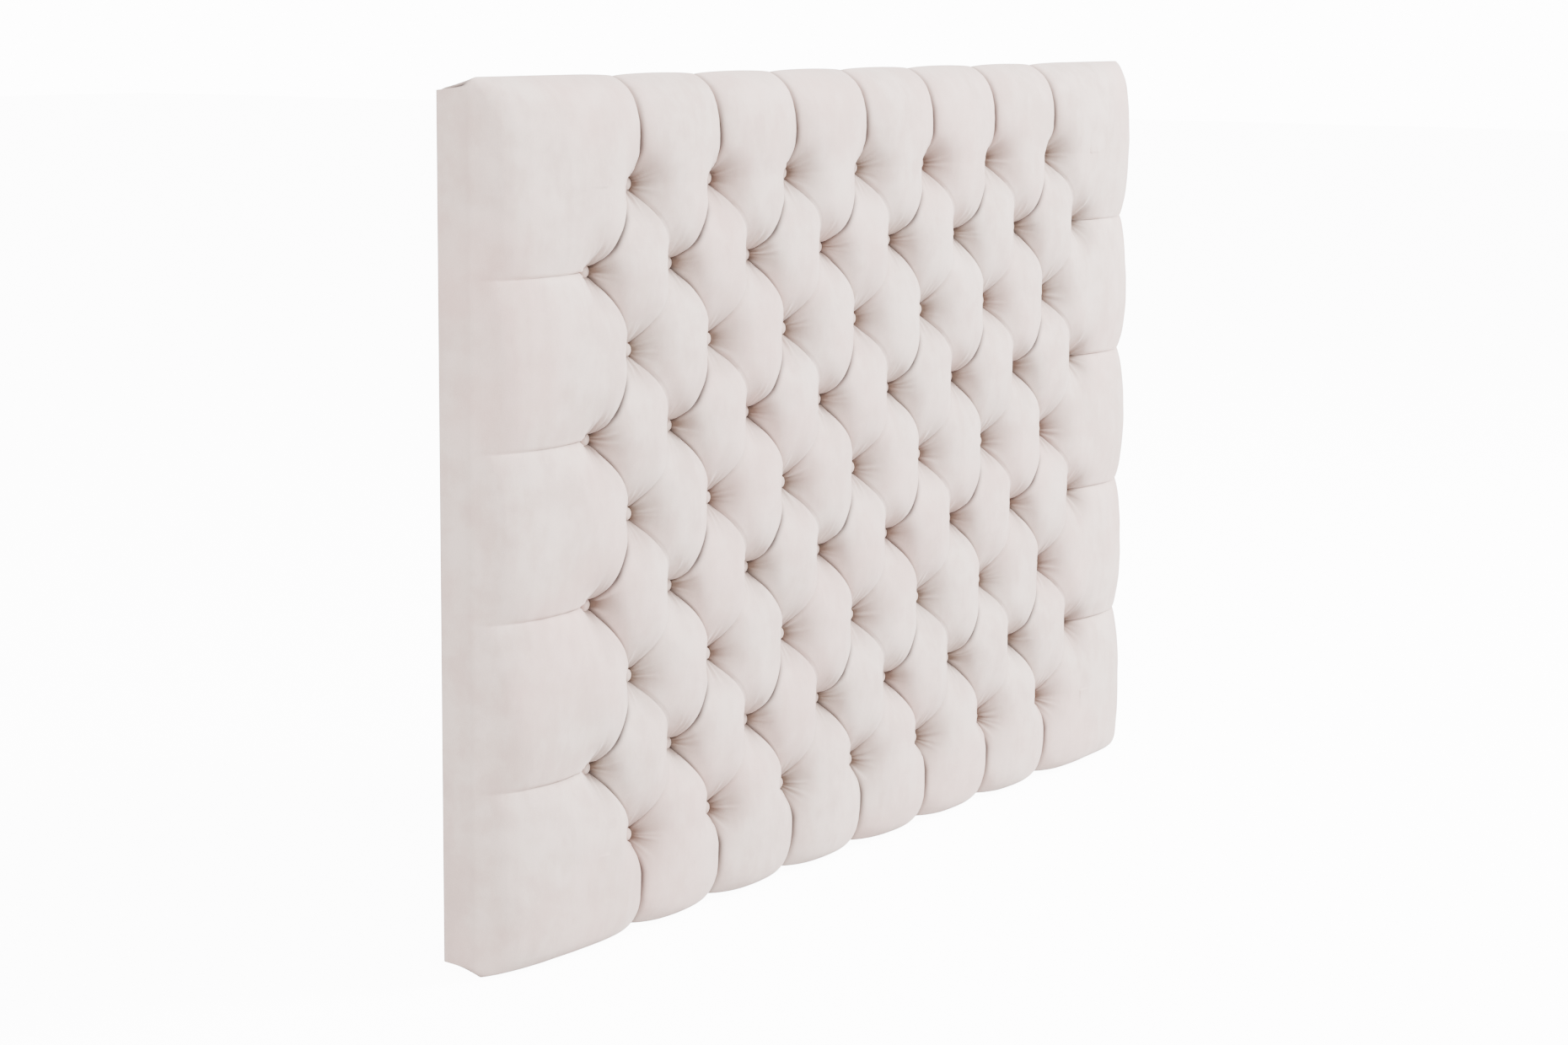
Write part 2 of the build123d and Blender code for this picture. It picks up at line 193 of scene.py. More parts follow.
def look_group(name: str, inputs: dict[str, object]) -> tuple[NodeKit, object, object]:
    """Start a shader node group that puts out a colour, a roughness and a height.

    Args:
        name: the group's name.
        inputs: socket names with default values, a colour or a number.

    Returns:
        A kit for the group, the sockets that come in and the sockets that go out.
    """
    group = bpy.data.node_groups.new(name, "ShaderNodeTree")
    for label, value in inputs.items():
        kind = "NodeSocketColor" if isinstance(value, tuple) else "NodeSocketFloat"
        group.interface.new_socket(name=label, in_out="INPUT", socket_type=kind).default_value = value
    for label, kind in (("Color", "Color"), ("Roughness", "Float"), ("Height", "Float")):
        group.interface.new_socket(name=label, in_out="OUTPUT", socket_type="NodeSocket" + kind)
    start = group.nodes.new("NodeGroupInput")
    end = group.nodes.new("NodeGroupOutput")
    return NodeKit(group), start.outputs, end.inputs


def nap_group() -> Tree:
    """Velvet's nap: brushed patches that catch or swallow the light, over a fine pile.

    Returns:
        The group.
    """
    kit, start, end = look_group("velvet_nap", {"Light": (1.0, 1.0, 1.0, 1.0), "Dark": (0.5, 0.5, 0.5, 1.0),
                                                "Rose": (0.6, 0.5, 0.5, 1.0), "Patches": 0.6})
    broad = kit.noise(9.0, 3.0, (1.0, 1.0, 1.5), 0.6)
    strokes = kit.noise(26.0, 4.0, (1.6, 1.0, 0.8), 0.62)
    pile = kit.noise(900.0, 2.0)
    hue = kit.noise(5.0, 2.0)
    broad_share, rose_share, stroke_height, pile_height = 0.55, 0.4, 0.8, 0.25
    both = kit.math("ADD", kit.math("MULTIPLY", broad, broad_share),
                    kit.math("MULTIPLY", strokes, 1 - broad_share))
    brushed = kit.math("MULTIPLY", kit.spread(both, 0.38, 0.64), start["Patches"])
    toned = kit.blend(brushed, start["Light"], start["Dark"])
    rosy = kit.math("MULTIPLY", kit.spread(hue, 0.42, 0.66), rose_share)
    tinted = kit.blend(rosy, toned, start["Rose"])
    speckle = kit.spread(pile, 0.2, 0.8, 0.94, 1.05)
    kit.join(kit.blend(1.0, tinted, speckle, "MULTIPLY"), end["Color"])
    kit.join(kit.spread(strokes, 0.3, 0.7, 0.78, 0.95), end["Roughness"])
    kit.join(kit.math("ADD", kit.math("MULTIPLY", strokes, stroke_height),
                      kit.math("MULTIPLY", pile, pile_height)), end["Height"])
    return kit.tree


def grain_group() -> Tree:
    """Timber grain: long streaks with darker rings.

    Returns:
        The group.
    """
    kit, start, end = look_group("timber_grain", {"Light": (0.8, 0.7, 0.5, 1.0),
                                                  "Dark": (0.5, 0.4, 0.2, 1.0)})
    streaks = kit.noise(40.0, 5.0, (1.0, 1.0, 0.08), 0.6)
    kit.join(kit.blend(kit.spread(streaks, 0.42, 0.58), start["Light"], start["Dark"]), end["Color"])
    kit.join(kit.spread(streaks, 0.3, 0.7, 0.55, 0.75), end["Roughness"])
    kit.join(streaks, end["Height"])
    return kit.tree


def fibre_group() -> Tree:
    """Loose or bonded fibres: a fine crossed mottle, for nonwoven cloth, wadding, foam and twine.

    Returns:
        The group.
    """
    kit, start, end = look_group("bonded_fibre", {"Light": (0.8, 0.8, 0.8, 1.0),
                                                  "Dark": (0.5, 0.5, 0.5, 1.0)})
    crossed = kit.math("ADD", kit.noise(420.0, 3.0, (1.0, 1.0, 0.2)), kit.noise(420.0, 3.0, (0.2, 1.0, 1.0)))
    both = kit.math("MULTIPLY", crossed, 0.5)
    kit.join(kit.blend(kit.spread(both, 0.4, 0.62), start["Dark"], start["Light"]), end["Color"])
    kit.join(kit.spread(both, 0.3, 0.7, 0.75, 0.95), end["Roughness"])
    kit.join(both, end["Height"])
    return kit.tree


def wear_group() -> Tree:
    """Handling wear on small metal and plastic pieces: smears and dull spots.

    Returns:
        The group.
    """
    kit, start, end = look_group("handling_wear", {"Base": (0.7, 0.7, 0.7, 1.0),
                                                   "Worn": (0.5, 0.5, 0.5, 1.0), "Gloss": 0.3})
    smear = kit.noise(160.0, 4.0, (1.0, 1.0, 0.4), 0.65)
    spots = kit.spread(smear, 0.48, 0.66)
    dulling = 0.2
    kit.join(kit.blend(spots, start["Base"], start["Worn"]), end["Color"])
    kit.join(kit.math("ADD", start["Gloss"], kit.math("MULTIPLY", spots, dulling)), end["Roughness"])
    kit.join(smear, end["Height"])
    return kit.tree


def dress(name: str, group: Tree, settings: dict[str, object], bump: float,
          constants: dict[str, object], shade: str | None = None) -> bpy.types.Material:
    """Make a material from a look group.

    Args:
        name: the material's name.
        group: the node group that gives colour, roughness and height.
        settings: the group's input values, with colours as three numbers.
        bump: how far the height stands, in metres.
        constants: plain values for sockets of the shader.
        shade: the name of a mesh attribute whose colour darkens the surface.

    Returns:
        The material.
    """
    material = bpy.data.materials.new(name)
    material.use_nodes = True
    kit = NodeKit(material.node_tree)
    shader = material.node_tree.nodes["Principled BSDF"]
    look = kit.add("ShaderNodeGroup", node_tree=group)
    for label, value in settings.items():
        look.inputs[label].default_value = (*value, 1.0) if isinstance(value, tuple) else value
    colour = look.outputs["Color"]
    if shade:
        mask = kit.add("ShaderNodeAttribute", attribute_name=shade)
        colour = kit.blend(1.0, colour, mask.outputs["Color"], "MULTIPLY")
    kit.join(colour, shader.inputs["Base Color"])
    kit.join(look.outputs["Roughness"], shader.inputs["Roughness"])
    relief = kit.add("ShaderNodeBump")
    relief.inputs["Distance"].default_value = bump
    relief.inputs["Strength"].default_value = BUMP_STRENGTH
    kit.join(look.outputs["Height"], relief.inputs["Height"])
    kit.join(relief.outputs["Normal"], shader.inputs["Normal"])
    for label, value in constants.items():
        shader.inputs[label].default_value = value
    return material


@dataclass(frozen=True)
class Velvet:
    """Short-pile velvet in pale warm grey."""

    light: Colour = (0.80, 0.66, 0.60)
    dark: Colour = (0.66, 0.505, 0.455)
    rose: Colour = (0.78, 0.53, 0.485)
    patches: float = 0.85
    sheen: float = 0.6
    sheen_roughness: float = 0.45
    sheen_tint: Colour = (1.0, 0.88, 0.84)
    gloss: float = 0.18
    pile_depth: float = 0.9 * MM

    def material(self, name: str, group: Tree, shade: str | None) -> bpy.types.Material:
        """Build the velvet.

        Args:
            name: the material's name.
            group: the nap group.
            shade: the mesh attribute that darkens it, if there is one.

        Returns:
            The material.
        """
        settings = {"Light": self.light, "Dark": self.dark, "Rose": self.rose, "Patches": self.patches}
        constants = {"Sheen Weight": self.sheen, "Sheen Roughness": self.sheen_roughness,
                     "Sheen Tint": (*self.sheen_tint, 1.0), "Specular IOR Level": self.gloss}
        return dress(name, group, settings, self.pile_depth, constants, shade)


@dataclass(frozen=True)
class Wood:
    """Planed softwood or plywood."""

    light: Colour
    dark: Colour
    gloss: float = 0.3
    grain_depth: float = 0.3 * MM

    def material(self, name: str, group: Tree) -> bpy.types.Material:
        """Build the wood under a name."""
        settings = {"Light": self.light, "Dark": self.dark}
        return dress(name, group, settings, self.grain_depth, {"Specular IOR Level": self.gloss})


@dataclass(frozen=True)
class Fibre:
    """Nonwoven cloth, wadding, foam or twine."""

    light: Colour
    dark: Colour
    relief: float = 0.3 * MM
    gloss: float = 0.2
    sheen: float = 0.15

    def material(self, name: str, group: Tree) -> bpy.types.Material:
        """Build the fibre under a name."""
        constants = {"Specular IOR Level": self.gloss, "Sheen Weight": self.sheen}
        return dress(name, group, {"Light": self.light, "Dark": self.dark}, self.relief, constants)


@dataclass(frozen=True)
class SmallPart:
    """Plated steel, galvanised wire or moulded nylon."""

    base: Colour
    worn: Colour
    gloss: float
    metallic: float
    relief: float = 0.05 * MM

    def material(self, name: str, group: Tree) -> bpy.types.Material:
        """Build the finish under a name."""
        settings = {"Base": self.base, "Worn": self.worn, "Gloss": self.gloss}
        return dress(name, group, settings, self.relief, {"Metallic": self.metallic})


SMALL_FINISHES = {
    Finish.ZINC: SmallPart((0.62, 0.63, 0.65), (0.45, 0.46, 0.48), 0.28, 1.0),
    Finish.YELLOW_ZINC: SmallPart((0.66, 0.55, 0.30), (0.50, 0.42, 0.26), 0.30, 1.0),
    Finish.WIRE: SmallPart((0.70, 0.71, 0.72), (0.50, 0.50, 0.51), 0.34, 1.0),
    Finish.NYLON: SmallPart((0.030, 0.030, 0.032), (0.055, 0.055, 0.058), 0.42, 0.0),
}


def smoothstep(low: float, high: float, value: np.ndarray | float) -> np.ndarray:
    """Rise from 0 at low to 1 at high, level at both ends.

    Args:
        low: where the rise starts.
        high: where it ends, which may be below its start.
        value: the values to read it at.

    Returns:
        The height of the rise at each value.
    """
    share = np.clip((value - low) / (high - low), 0.0, 1.0)
    return share * share * (3.0 - 2.0 * share)


def make_mesh(name: str, points: np.ndarray, faces: Faces) -> bpy.types.Object:
    """Make a smooth-shaded mesh object and place it in the scene.

    Args:
        name: the piece's name.
        points: its vertices.
        faces: its faces, as vertex numbers.

    Returns:
        The piece.
    """
    mesh = bpy.data.meshes.new(name)
    mesh.from_pydata([tuple(point) for point in points], [], faces)
    mesh.validate()
    for polygon in mesh.polygons:
        polygon.use_smooth = True
    piece = bpy.data.objects.new(name, mesh)
    bpy.context.scene.collection.objects.link(piece)
    return piece


def settle(piece: bpy.types.Object, material: bpy.types.Material, node: str) -> None:
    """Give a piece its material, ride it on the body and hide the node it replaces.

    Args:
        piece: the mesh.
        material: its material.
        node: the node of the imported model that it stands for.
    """
    piece.data.materials.append(material)
    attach(piece, "root")
    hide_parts(node)
    log.info("%s: %d vertices", piece.name, len(piece.data.vertices))


@dataclass
class ButtonGrid:
    """Where the buttons are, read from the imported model. Rows are counted from the top, from 0."""

    spacing: float
    row_spacing: float
    first_row: float
    button_radius: float
    button_back: float
    cells_across: int = 14
    cells_down: int = 8
    velvet_gap: float = 0.7 * MM

    @classmethod
    def from_frame(cls) -> "ButtonGrid":
        """Read the grid from the boxes of the first and the last row of buttons.

        Returns:
            The grid.
        """
        low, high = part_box("buttons_row_1")
        last_low, last_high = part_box("buttons_row_9")
        radius = (high[2] - low[2]) / 2
        spacing = (high[0] - low[0] - 2 * radius) / (cls.cells_across / 2 - 1)
        first = (high[2] + low[2]) / 2
        last = (last_high[2] + last_low[2]) / 2
        return cls(spacing, (first - last) / cls.cells_down, first, radius, high[1])

    @property
    def seat(self) -> float:
        """The plane where the velvet lies under the buttons."""
        return self.button_back + self.velvet_gap

    @property
    def cell(self) -> float:
        """Half the spacing of two buttons in a row."""
        return self.spacing / 2

    @property
    def slant(self) -> float:
        """The length of a pleat from one button to the next row's."""
        return math.hypot(self.cell, self.row_spacing)

    @property
    def first_column(self) -> float:
        """The leftmost button's place, in an even row."""
        return -self.cells_across / 2 * self.cell

    def row_height(self, row: int) -> float:
        """The height of a row above the floor."""
        return self.first_row - row * self.row_spacing

    def places(self, row: int) -> list[tuple[float, float]]:
        """The buttons' places in one row. An odd row has one button more."""
        count = self.cells_across // 2 + row % 2
        return [((column - (count - 1) / 2) * self.spacing, self.row_height(row)) for column in range(count)]

    def all_places(self) -> list[tuple[float, float]]:
        """Every button's place."""
        return [place for row in range(self.cells_down + 1) for place in self.places(row)]


@dataclass(frozen=True)
class Margin:
    """How the velvet rolls over from the outer buttons to the outline, in millimetres.

    Its places are distances from the buttons, with the levels there of a pleat and between pleats.
    """

    places: tuple[float, ...]
    pleats: tuple[float, ...]
    crowns: tuple[float, ...]
    samples: int = 400
    smoothing: int = 21

    def read(self, levels: tuple[float, ...], share: np.ndarray) -> np.ndarray:
        """Read a level off a smoothed curve through the given ones.

        Args:
            levels: the levels at the margin's places.
            share: the shares of the way to the outline to read it at.

        Returns:
            The levels in metres.
        """
        even = np.linspace(0, 1, self.samples + 1)
        curve = np.interp(even, np.array(self.places) / self.places[-1], levels)
        reach = self.smoothing // 2
        before = 2 * curve[0] - curve[reach:0:-1]
        after = 2 * curve[-1] - curve[-2:-reach - 2:-1]
        weights = np.ones(self.smoothing) / self.smoothing
        soft = np.convolve(np.concatenate([before, curve, after]), weights, "valid")
        return np.interp(share, even, soft) * MM

    def pleat(self, share: np.ndarray) -> np.ndarray:
        """The level along a pleat at a share of the way to the outline."""
        return self.read(self.pleats, share)

    def crown(self, share: np.ndarray) -> np.ndarray:
        """The level between two pleats at a share of the way to the outline."""
        return self.read(self.crowns, share)


@dataclass
class VelvetCover:
    """The velvet skin: tufted face, rolled edges, drawn-in sides and the margin turned onto the back.

    Pleats between buttons are of two kinds, which alternate from column to column: open folds, whose
    left pillow lies over the right one, and closed seams, which are deepest near the even rows.
    """

    grid: ButtonGrid
    name: str = "velvet_skin"
    seed: int = 7
    crest: float = 46 * MM
    pleat: float = 29 * MM
    soft_pleat: float = 39 * MM
    bump: float = 13 * MM
    pleat_rise: float = 36 * MM
    soft_rise: float = 38 * MM
    climbing_pleat: float = 35 * MM
    climbing_start: float = 19 * MM
    climbing_end: float = 48 * MM
    well_floor: float = 4 * MM
    well_rim: float = 12 * MM
    well_reach: float = 24 * MM
    fold_depth: float = 9 * MM
    fold_width: float = 1.9 * MM
    proud_power: float = 0.45
    soft_power: float = 0.85
    tuck_depth: float = 4 * MM
    tuck_width: float = 7 * MM
    lip_reach: float = 3 * MM
    lip_place: float = 4 * MM
    crease_height: float = 3.2 * MM
    crease_place: float = 20 * MM
    crease_fade: float = 15 * MM
    crease_width: float = 0.085
    crease_scatter: float = 0.07
    across_turns: tuple[float, ...] = (-0.62, -0.36, -0.12, 0.14, 0.38, 0.64)
    upward_turns: tuple[float, ...] = (-0.42, -0.14, 0.16, 0.44)
    margin_blend: float = 45 * MM
    closed_fold: float = 0.8
    closed_floor: float = 0.13
    closed_reach: float = 0.3
    closed_tuck: float = 0.3
    edge_drop: float = 19 * MM
    edge_lift: float = 9 * MM
    top_dip: float = 4 * MM
    roll_reach: tuple[float, float] = (0.45, 1.0)
    ladder_powers: tuple[float, float] = (2.2, 0.75)
    top_fade: float = 0.75
    top_fade_reach: tuple[float, float] = (0.3, 1.0)
    side_fade: float = 0.8
    side_fade_reach: tuple[float, float] = (0.0, 0.12)
    side_end_reach: tuple[float, float] = (0.5, 0.95)
    side_swell: float = 5 * MM
    warp: float = 0.45
    waves: tuple[tuple[float, float], ...] = ((0.31, 0.5 * MM), (0.27, 0.4 * MM), (0.17, 0.4 * MM),
                                              (0.15, 0.3 * MM), (0.083, 0.25 * MM), (0.071, 0.2 * MM),
                                              (0.047, 0.15 * MM), (0.041, 0.1 * MM))
    still_reach: tuple[float, float] = (20 * MM, 50 * MM)
    fold_shade: float = 1.3
    fold_shade_width: float = 3.4 * MM
    fold_shade_reach: tuple[float, float] = (15 * MM, 55 * MM)
    tucked_growth: float = 0.3
    hidden_growth: float = 1.7
    margin_growth: float = 0.85
    near_shade: float = 0.5
    proud_shade: float = 0.2
    well_shade: float = 1.4
    well_shade_reach: float = 30 * MM
    well_shade_swing: float = 0.45
    well_shade_limit: float = 0.96
    crease_light: float = 0.4
    # Colours of the painted shade beside the folds and in the button wells
    fold_shade_tint: Colour = (0.10, 0.095, 0.095)
    well_shade_tint: Colour = (0.15, 0.125, 0.10)
    mitre: float = 0.97
    dart_depth: float = 3 * MM
    dart_width: float = 3 * MM
    dart_shade: float = 0.6
    dart_opening: tuple[float, float] = (0.05, 0.3)
    swell_end: float = 0.8
    side_wave: float = 0.5 * MM
    side_ripples: tuple[tuple[float, float, float], ...] = ((0.3 * MM, 23.0, 0.0), (0.2 * MM, 61.0, 1.0))
    side_draw: float = 2 * MM
    top_draw: float = 15 * MM
    bottom_draw: float = 18 * MM
    edge_reach: float = 20 * MM
    corner_radius: float = 16 * MM
    arc_gap: float = 0.414
    back_bend: float = 3 * MM
    back_margin: float = 40 * MM
    cell_steps: int = 30
    side_steps: int = 60
    wall_steps: int = 14
    bend_steps: int = 4
    margin_steps: int = 6
    top_margin: Margin = Margin((0, 12, 28, 45, 65, 85, 105, 120, 132, 141, 147, 149),
                                (0, 6.5, 14.5, 20, 22.5, 22.5, 18.5, 13, 5, -6, -15, -19),
                                (46, 46, 45.5, 45, 43.5, 41, 36, 29, 19, 6, -9, -19))
    bottom_margin: Margin = Margin((0, 12, 28, 50, 75, 95, 110, 120, 128, 133, 137, 139),
                                   (0, 8, 16, 21, 22, 21, 17, 12, 7, 2, -5, -19),
                                   (46, 46, 46, 45.5, 44, 42, 39, 35.5, 30, 23, 12, -19))
    side_margin: Margin = Margin((0, 12, 28, 50, 80, 115, 150, 175, 193, 205, 213, 217.5),
                                 (0, 6, 15, 20.5, 24, 24, 19, 10, 1, -7, -14, -19),
                                 (46, 46, 45.5, 44.5, 42.5, 39, 33, 25.5, 16, 5, -7, -19))

    def __post_init__(self) -> None:
        """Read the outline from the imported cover, and draw the chances of its creases and waves."""
        self.half_width, self.back, self.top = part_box("velvet_cover")[1]
        random = np.random.default_rng(self.seed)
        sides = ((0, self.across_turns), (1, self.upward_turns), (2, self.across_turns),
                 (-1, self.upward_turns))
        turns = [side * math.pi / 2 + turn for side, spread in sides for turn in spread]
        shape = (len(turns), len(self.grid.all_places()))
        self.crease_turns = np.array(turns)[:, None] + random.normal(0, self.crease_scatter, shape)
        self.crease_heights = random.uniform(0.1, 1.0, shape) ** 1.5
        self.wave_ways = random.uniform(0, math.pi, len(self.waves))
        self.wave_starts = random.uniform(0, 2 * math.pi, len(self.waves))

    def spread(self, steps: int) -> np.ndarray:
        """Shares from 0 to 1, closer together at both ends."""
        even = np.linspace(0, 1, steps + 1)
        return even - self.warp * np.sin(2 * math.pi * even) / (2 * math.pi)

    def lines(self) -> tuple[np.ndarray, np.ndarray]:
        """The face mesh's columns, from the left, and rows, from the top.

        Returns:
            The places of both.
        """
        grid = self.grid
        spread = self.spread(self.cell_steps)[:-1]
        margin = self.spread(self.side_steps)[1:]
        across, downward = [np.concatenate([cell + spread for cell in range(cells)] + [[float(cells)]])
                            for cells in (grid.cells_across, grid.cells_down)]
        last_row = grid.row_height(grid.cells_down)
        side = (self.half_width + grid.first_column) * margin
        columns = np.concatenate([grid.first_column - side[::-1], grid.first_column + grid.cell * across,
                                  -grid.first_column + side])
        rows = np.concatenate([grid.first_row + (self.top - grid.first_row) * margin[::-1],
                               grid.first_row - grid.row_spacing * downward, last_row - last_row * margin])
        return columns, rows

    def pleat_level(self, share: np.ndarray, is_open: np.ndarray, climbs: np.ndarray) -> np.ndarray:
        """How high a pleat stands on its way from an odd row's button to an even row's.

        Args:
            share: the share of the way.
            is_open: whether it is an open fold.
            climbs: whether it climbs from left to right.

        Returns:
            The level above the button plane.
        """
        steep = is_open & climbs
        height = np.where(steep, self.climbing_pleat, np.where(is_open, self.pleat, self.soft_pleat))
        rise = np.where(is_open, self.pleat_rise, self.soft_rise)
        start = share * self.grid.slant / np.where(steep, self.climbing_start, rise)
        end = (1 - share) * self.grid.slant / np.where(steep, self.climbing_end, rise)
        return height * (1 - np.exp(-start ** 1.5)) * (1 - np.exp(-end ** 1.5))

    def pillow(self, across: np.ndarray, down: np.ndarray, is_open: np.ndarray, climbs: np.ndarray,
               proud: np.ndarray) -> np.ndarray:
        """The level inside a cell whose pleat runs from its corner (0, 0) to (1, 1).

        Args:
            across: the points' places across the cell, from 0 to 1.
            down: the points' places down the cell.
            is_open: whether the cell's pleat is an open fold. Its pillow's next pleat round the
                waist is of the same kind, and the two opposite ones are of the other.
            climbs: whether the cell's pleat climbs from left to right.
            proud: whether the pillow lies over its neighbours.

        Returns:
            The level above the button plane.
        """
        near = np.clip(np.abs(across - down) / 2, 0, 0.5)
        along = np.clip((across + down) / 2, 0, 1)
        from_waist = np.where(across > down, along, 1 - along)
        place = np.where(proud, 1 - from_waist, from_waist)
        beside = np.where(proud, 1 - near, near)
        level = self.pleat_level(place, is_open, climbs) * (1 - near) ** 2
        level += self.pleat_level(1 - place, ~is_open, climbs) * near ** 2
        level += self.pleat_level(beside, is_open, ~climbs) * (1 - from_waist) ** 2
        level += self.pleat_level(1 - beside, ~is_open, ~climbs) * from_waist ** 2
        own = np.where(is_open & proud, self.proud_power, self.soft_power)
        other = np.where(~is_open & proud, self.proud_power, self.soft_power)
        swell = (4 * near * from_waist) ** own * (4 * (1 - near) * (1 - from_waist)) ** other
        gap = np.minimum(np.hypot(across * self.grid.cell, down * self.grid.row_spacing),
                         np.hypot((1 - across) * self.grid.cell, (1 - down) * self.grid.row_spacing))
        return level + self.bump * swell * (1 - np.exp(-(gap / self.well_reach) ** 1.3))

    def between_buttons(self, column: np.ndarray, row: np.ndarray) -> Masks:
        """The face between the buttons, carried on unchanged past the outer ones.

        Args:
            column: the points' places across in cells, from the leftmost button.
            row: the points' places down in rows, from the top row.

        Returns:
            What parts returns, without lift.
        """
        grid = self.grid
        inner_column = np.clip(column, 0, grid.cells_across)
        inner_row = np.clip(row, 0, grid.cells_down)
        cell_column = np.clip(np.floor(inner_column), 0, grid.cells_across - 1)
        cell_row = np.clip(np.floor(inner_row), 0, grid.cells_down - 1)
        even_row = cell_row % 2 == 0
        falling = (cell_column + cell_row) % 2 == 1
        across = np.where(falling, inner_column - cell_column, 1 - (inner_column - cell_column))
        down = inner_row - cell_row
        offset = across - down
        upper = np.where(offset > 0, 1.0, -1.0)
        proud = (offset > 0) == even_row
        is_open = falling != even_row
        from_even_row = np.where(even_row, down, 1 - down)
        seam = np.exp(-(from_even_row / self.closed_reach) ** 2)
        lean_x = grid.row_spacing / grid.slant * np.where(falling, -1, 1)
        return {
            "level": self.pillow(across, down, is_open, ~falling, proud),
            "fold": np.abs(offset) * (grid.cell * grid.row_spacing / grid.slant),
            "push_x": np.where(proud, upper * lean_x, 0.0),
            "push_z": np.where(proud, -upper * grid.cell / grid.slant, 0.0),
            "fade": np.where(is_open, 1.0, self.closed_floor + (self.closed_fold - self.closed_floor) * seam),
            "tucked": np.where(proud, 0.0, np.where(is_open, 1.0, self.closed_tuck)),
            "hidden": np.where(is_open & ~falling, self.hidden_growth, 0.0),
        }

    def parts(self, x: np.ndarray, z: np.ndarray) -> Masks:
        """The whole face with its margins: its level, and the masks that folds and shading need.

        Args:
            x: the points' places across.
            z: the points' heights.

        Returns:
            Arrays named level (above the button plane), fold (distance to the nearest pleat), push_x
            and push_z (the way a lip hangs over its pleat), fade (how deep the pleat is), tucked
            (where the velvet runs under a lip), hidden (how much wider the shadow beside a fold
            grows away from the buttons) and lift (how far the outline is drawn in at a pleat).
        """
        grid = self.grid
        column = (x - grid.first_column) / grid.cell
        row = (grid.first_row - z) / grid.row_spacing
        inner = self.between_buttons(column, row)
        in_columns = (column >= 0) & (column <= grid.cells_across)
        in_rows = (row >= 0) & (row <= grid.cells_down)
        over, beside, corner = in_columns & ~in_rows, ~in_columns & in_rows, ~in_columns & ~in_rows
        above = row < grid.cells_down / 2
        beyond_row = np.maximum(np.maximum(-row, row - grid.cells_down), 0) * grid.row_spacing
        beyond_column = np.maximum(np.maximum(-column, column - grid.cells_across), 0) * grid.cell
        row_reach = np.where(row < 0, self.top - grid.first_row, grid.row_height(grid.cells_down))
        top_share = beyond_row / row_reach
        side_share = beyond_column / (self.half_width + grid.first_column)
        top_pleat = np.where(above, self.top_margin.pleat(top_share), self.bottom_margin.pleat(top_share))
        top_crown = np.where(above, self.top_margin.crown(top_share), self.bottom_margin.crown(top_share))
        side_pleat = self.side_margin.pleat(side_share)
        side_crown = self.side_margin.crown(side_share)
        to_column = np.abs((column + 1) % 2 - 1)
        to_row = np.abs((row + 1) % 2 - 1)
        arch = np.sqrt(1 - to_column ** 2)
        ladder = (1 - to_row ** self.ladder_powers[0]) ** self.ladder_powers[1]
        swell = inner["level"] / self.crest
        top_swell = swell + (arch - swell) * smoothstep(0, self.margin_blend, beyond_row)
        side_swell = swell + (ladder - swell) * smoothstep(0, self.margin_blend, beyond_column)
        top_level = top_pleat + (top_crown - top_pleat) * top_swell
        side_level = side_pleat + (side_crown - side_pleat) * side_swell
        depth = self.crest + self.edge_drop
        corner_level = (top_crown + self.edge_drop) * (side_crown + self.edge_drop) / depth - self.edge_drop
        right_of_pleat = (column + 1) % 2 < 1
        below_pleat = (row + 1) % 2 < 1
        fade = np.where(in_columns & in_rows, inner["fade"], 1.0)
        fade = fade * (1 - self.top_fade * smoothstep(*self.top_fade_reach, top_share))
        fade = fade * (1 - self.side_fade * smoothstep(*self.side_fade_reach, side_share))
        fade = fade * (1 - smoothstep(*self.side_end_reach, side_share))
        roll = smoothstep(*self.roll_reach, top_share) * np.where(over, 1 - arch, 0)
        margins = {
            "level": (top_level, side_level, corner_level),
            "fold": ((1 - to_column) * grid.cell, (1 - to_row) * grid.row_spacing, 1.0),
            "push_x": (np.where(right_of_pleat, 0.0, 1.0), 0.0, 0.0),
            "push_z": (0.0, np.where(below_pleat, 0.0, -1.0), 0.0),
            "tucked": (np.where(right_of_pleat, 1.0, 0.0), self.closed_tuck * below_pleat, inner["tucked"]),
            "hidden": (self.margin_growth, 0.0, inner["hidden"]),
        }
        whole = {name: np.select([over, beside, corner], values, inner[name])
                 for name, values in margins.items()}
        return {**whole, "fade": fade, "lift": roll * np.where(above, -self.top_dip, self.edge_lift)}

    def nearest(self, x: np.ndarray, z: np.ndarray) -> tuple[np.ndarray, np.ndarray, np.ndarray]:
        """Find each point's nearest button.

        Args:
            x: the points' places across.
            z: the points' heights.

        Returns:
            How far it is, which way the point lies from it and its number.
        """
        well = np.full(x.shape, 1.0)
        turn = np.zeros(x.shape)
        button = np.zeros(x.shape, dtype=int)
        for index, (button_x, button_z) in enumerate(self.grid.all_places()):
            distance = np.hypot(x - button_x, z - button_z)
            nearer = distance < well
            well = np.where(nearer, distance, well)
            turn = np.where(nearer, np.arctan2(z - button_z, x - button_x), turn)
            button = np.where(nearer, index, button)
        return well, turn, button

    def creases(self, well: np.ndarray, turn: np.ndarray, button: np.ndarray) -> np.ndarray:
        """The fine creases that run out from each button between its pleats.

        Args:
            well: how far each point's nearest button is.
            turn: which way the point lies from it.
            button: the button's number.

        Returns:
            How far they stand out.
        """
        lift = np.zeros(well.shape)
        reach = np.exp(-((well - self.crease_place) / self.crease_fade) ** 2)
        for turns, heights in zip(self.crease_turns, self.crease_heights):
            gap = np.angle(np.exp(1j * (turn - turns[button])))
            lift += heights[button] * np.exp(-(gap / self.crease_width) ** 2)
        return self.crease_height * lift * reach

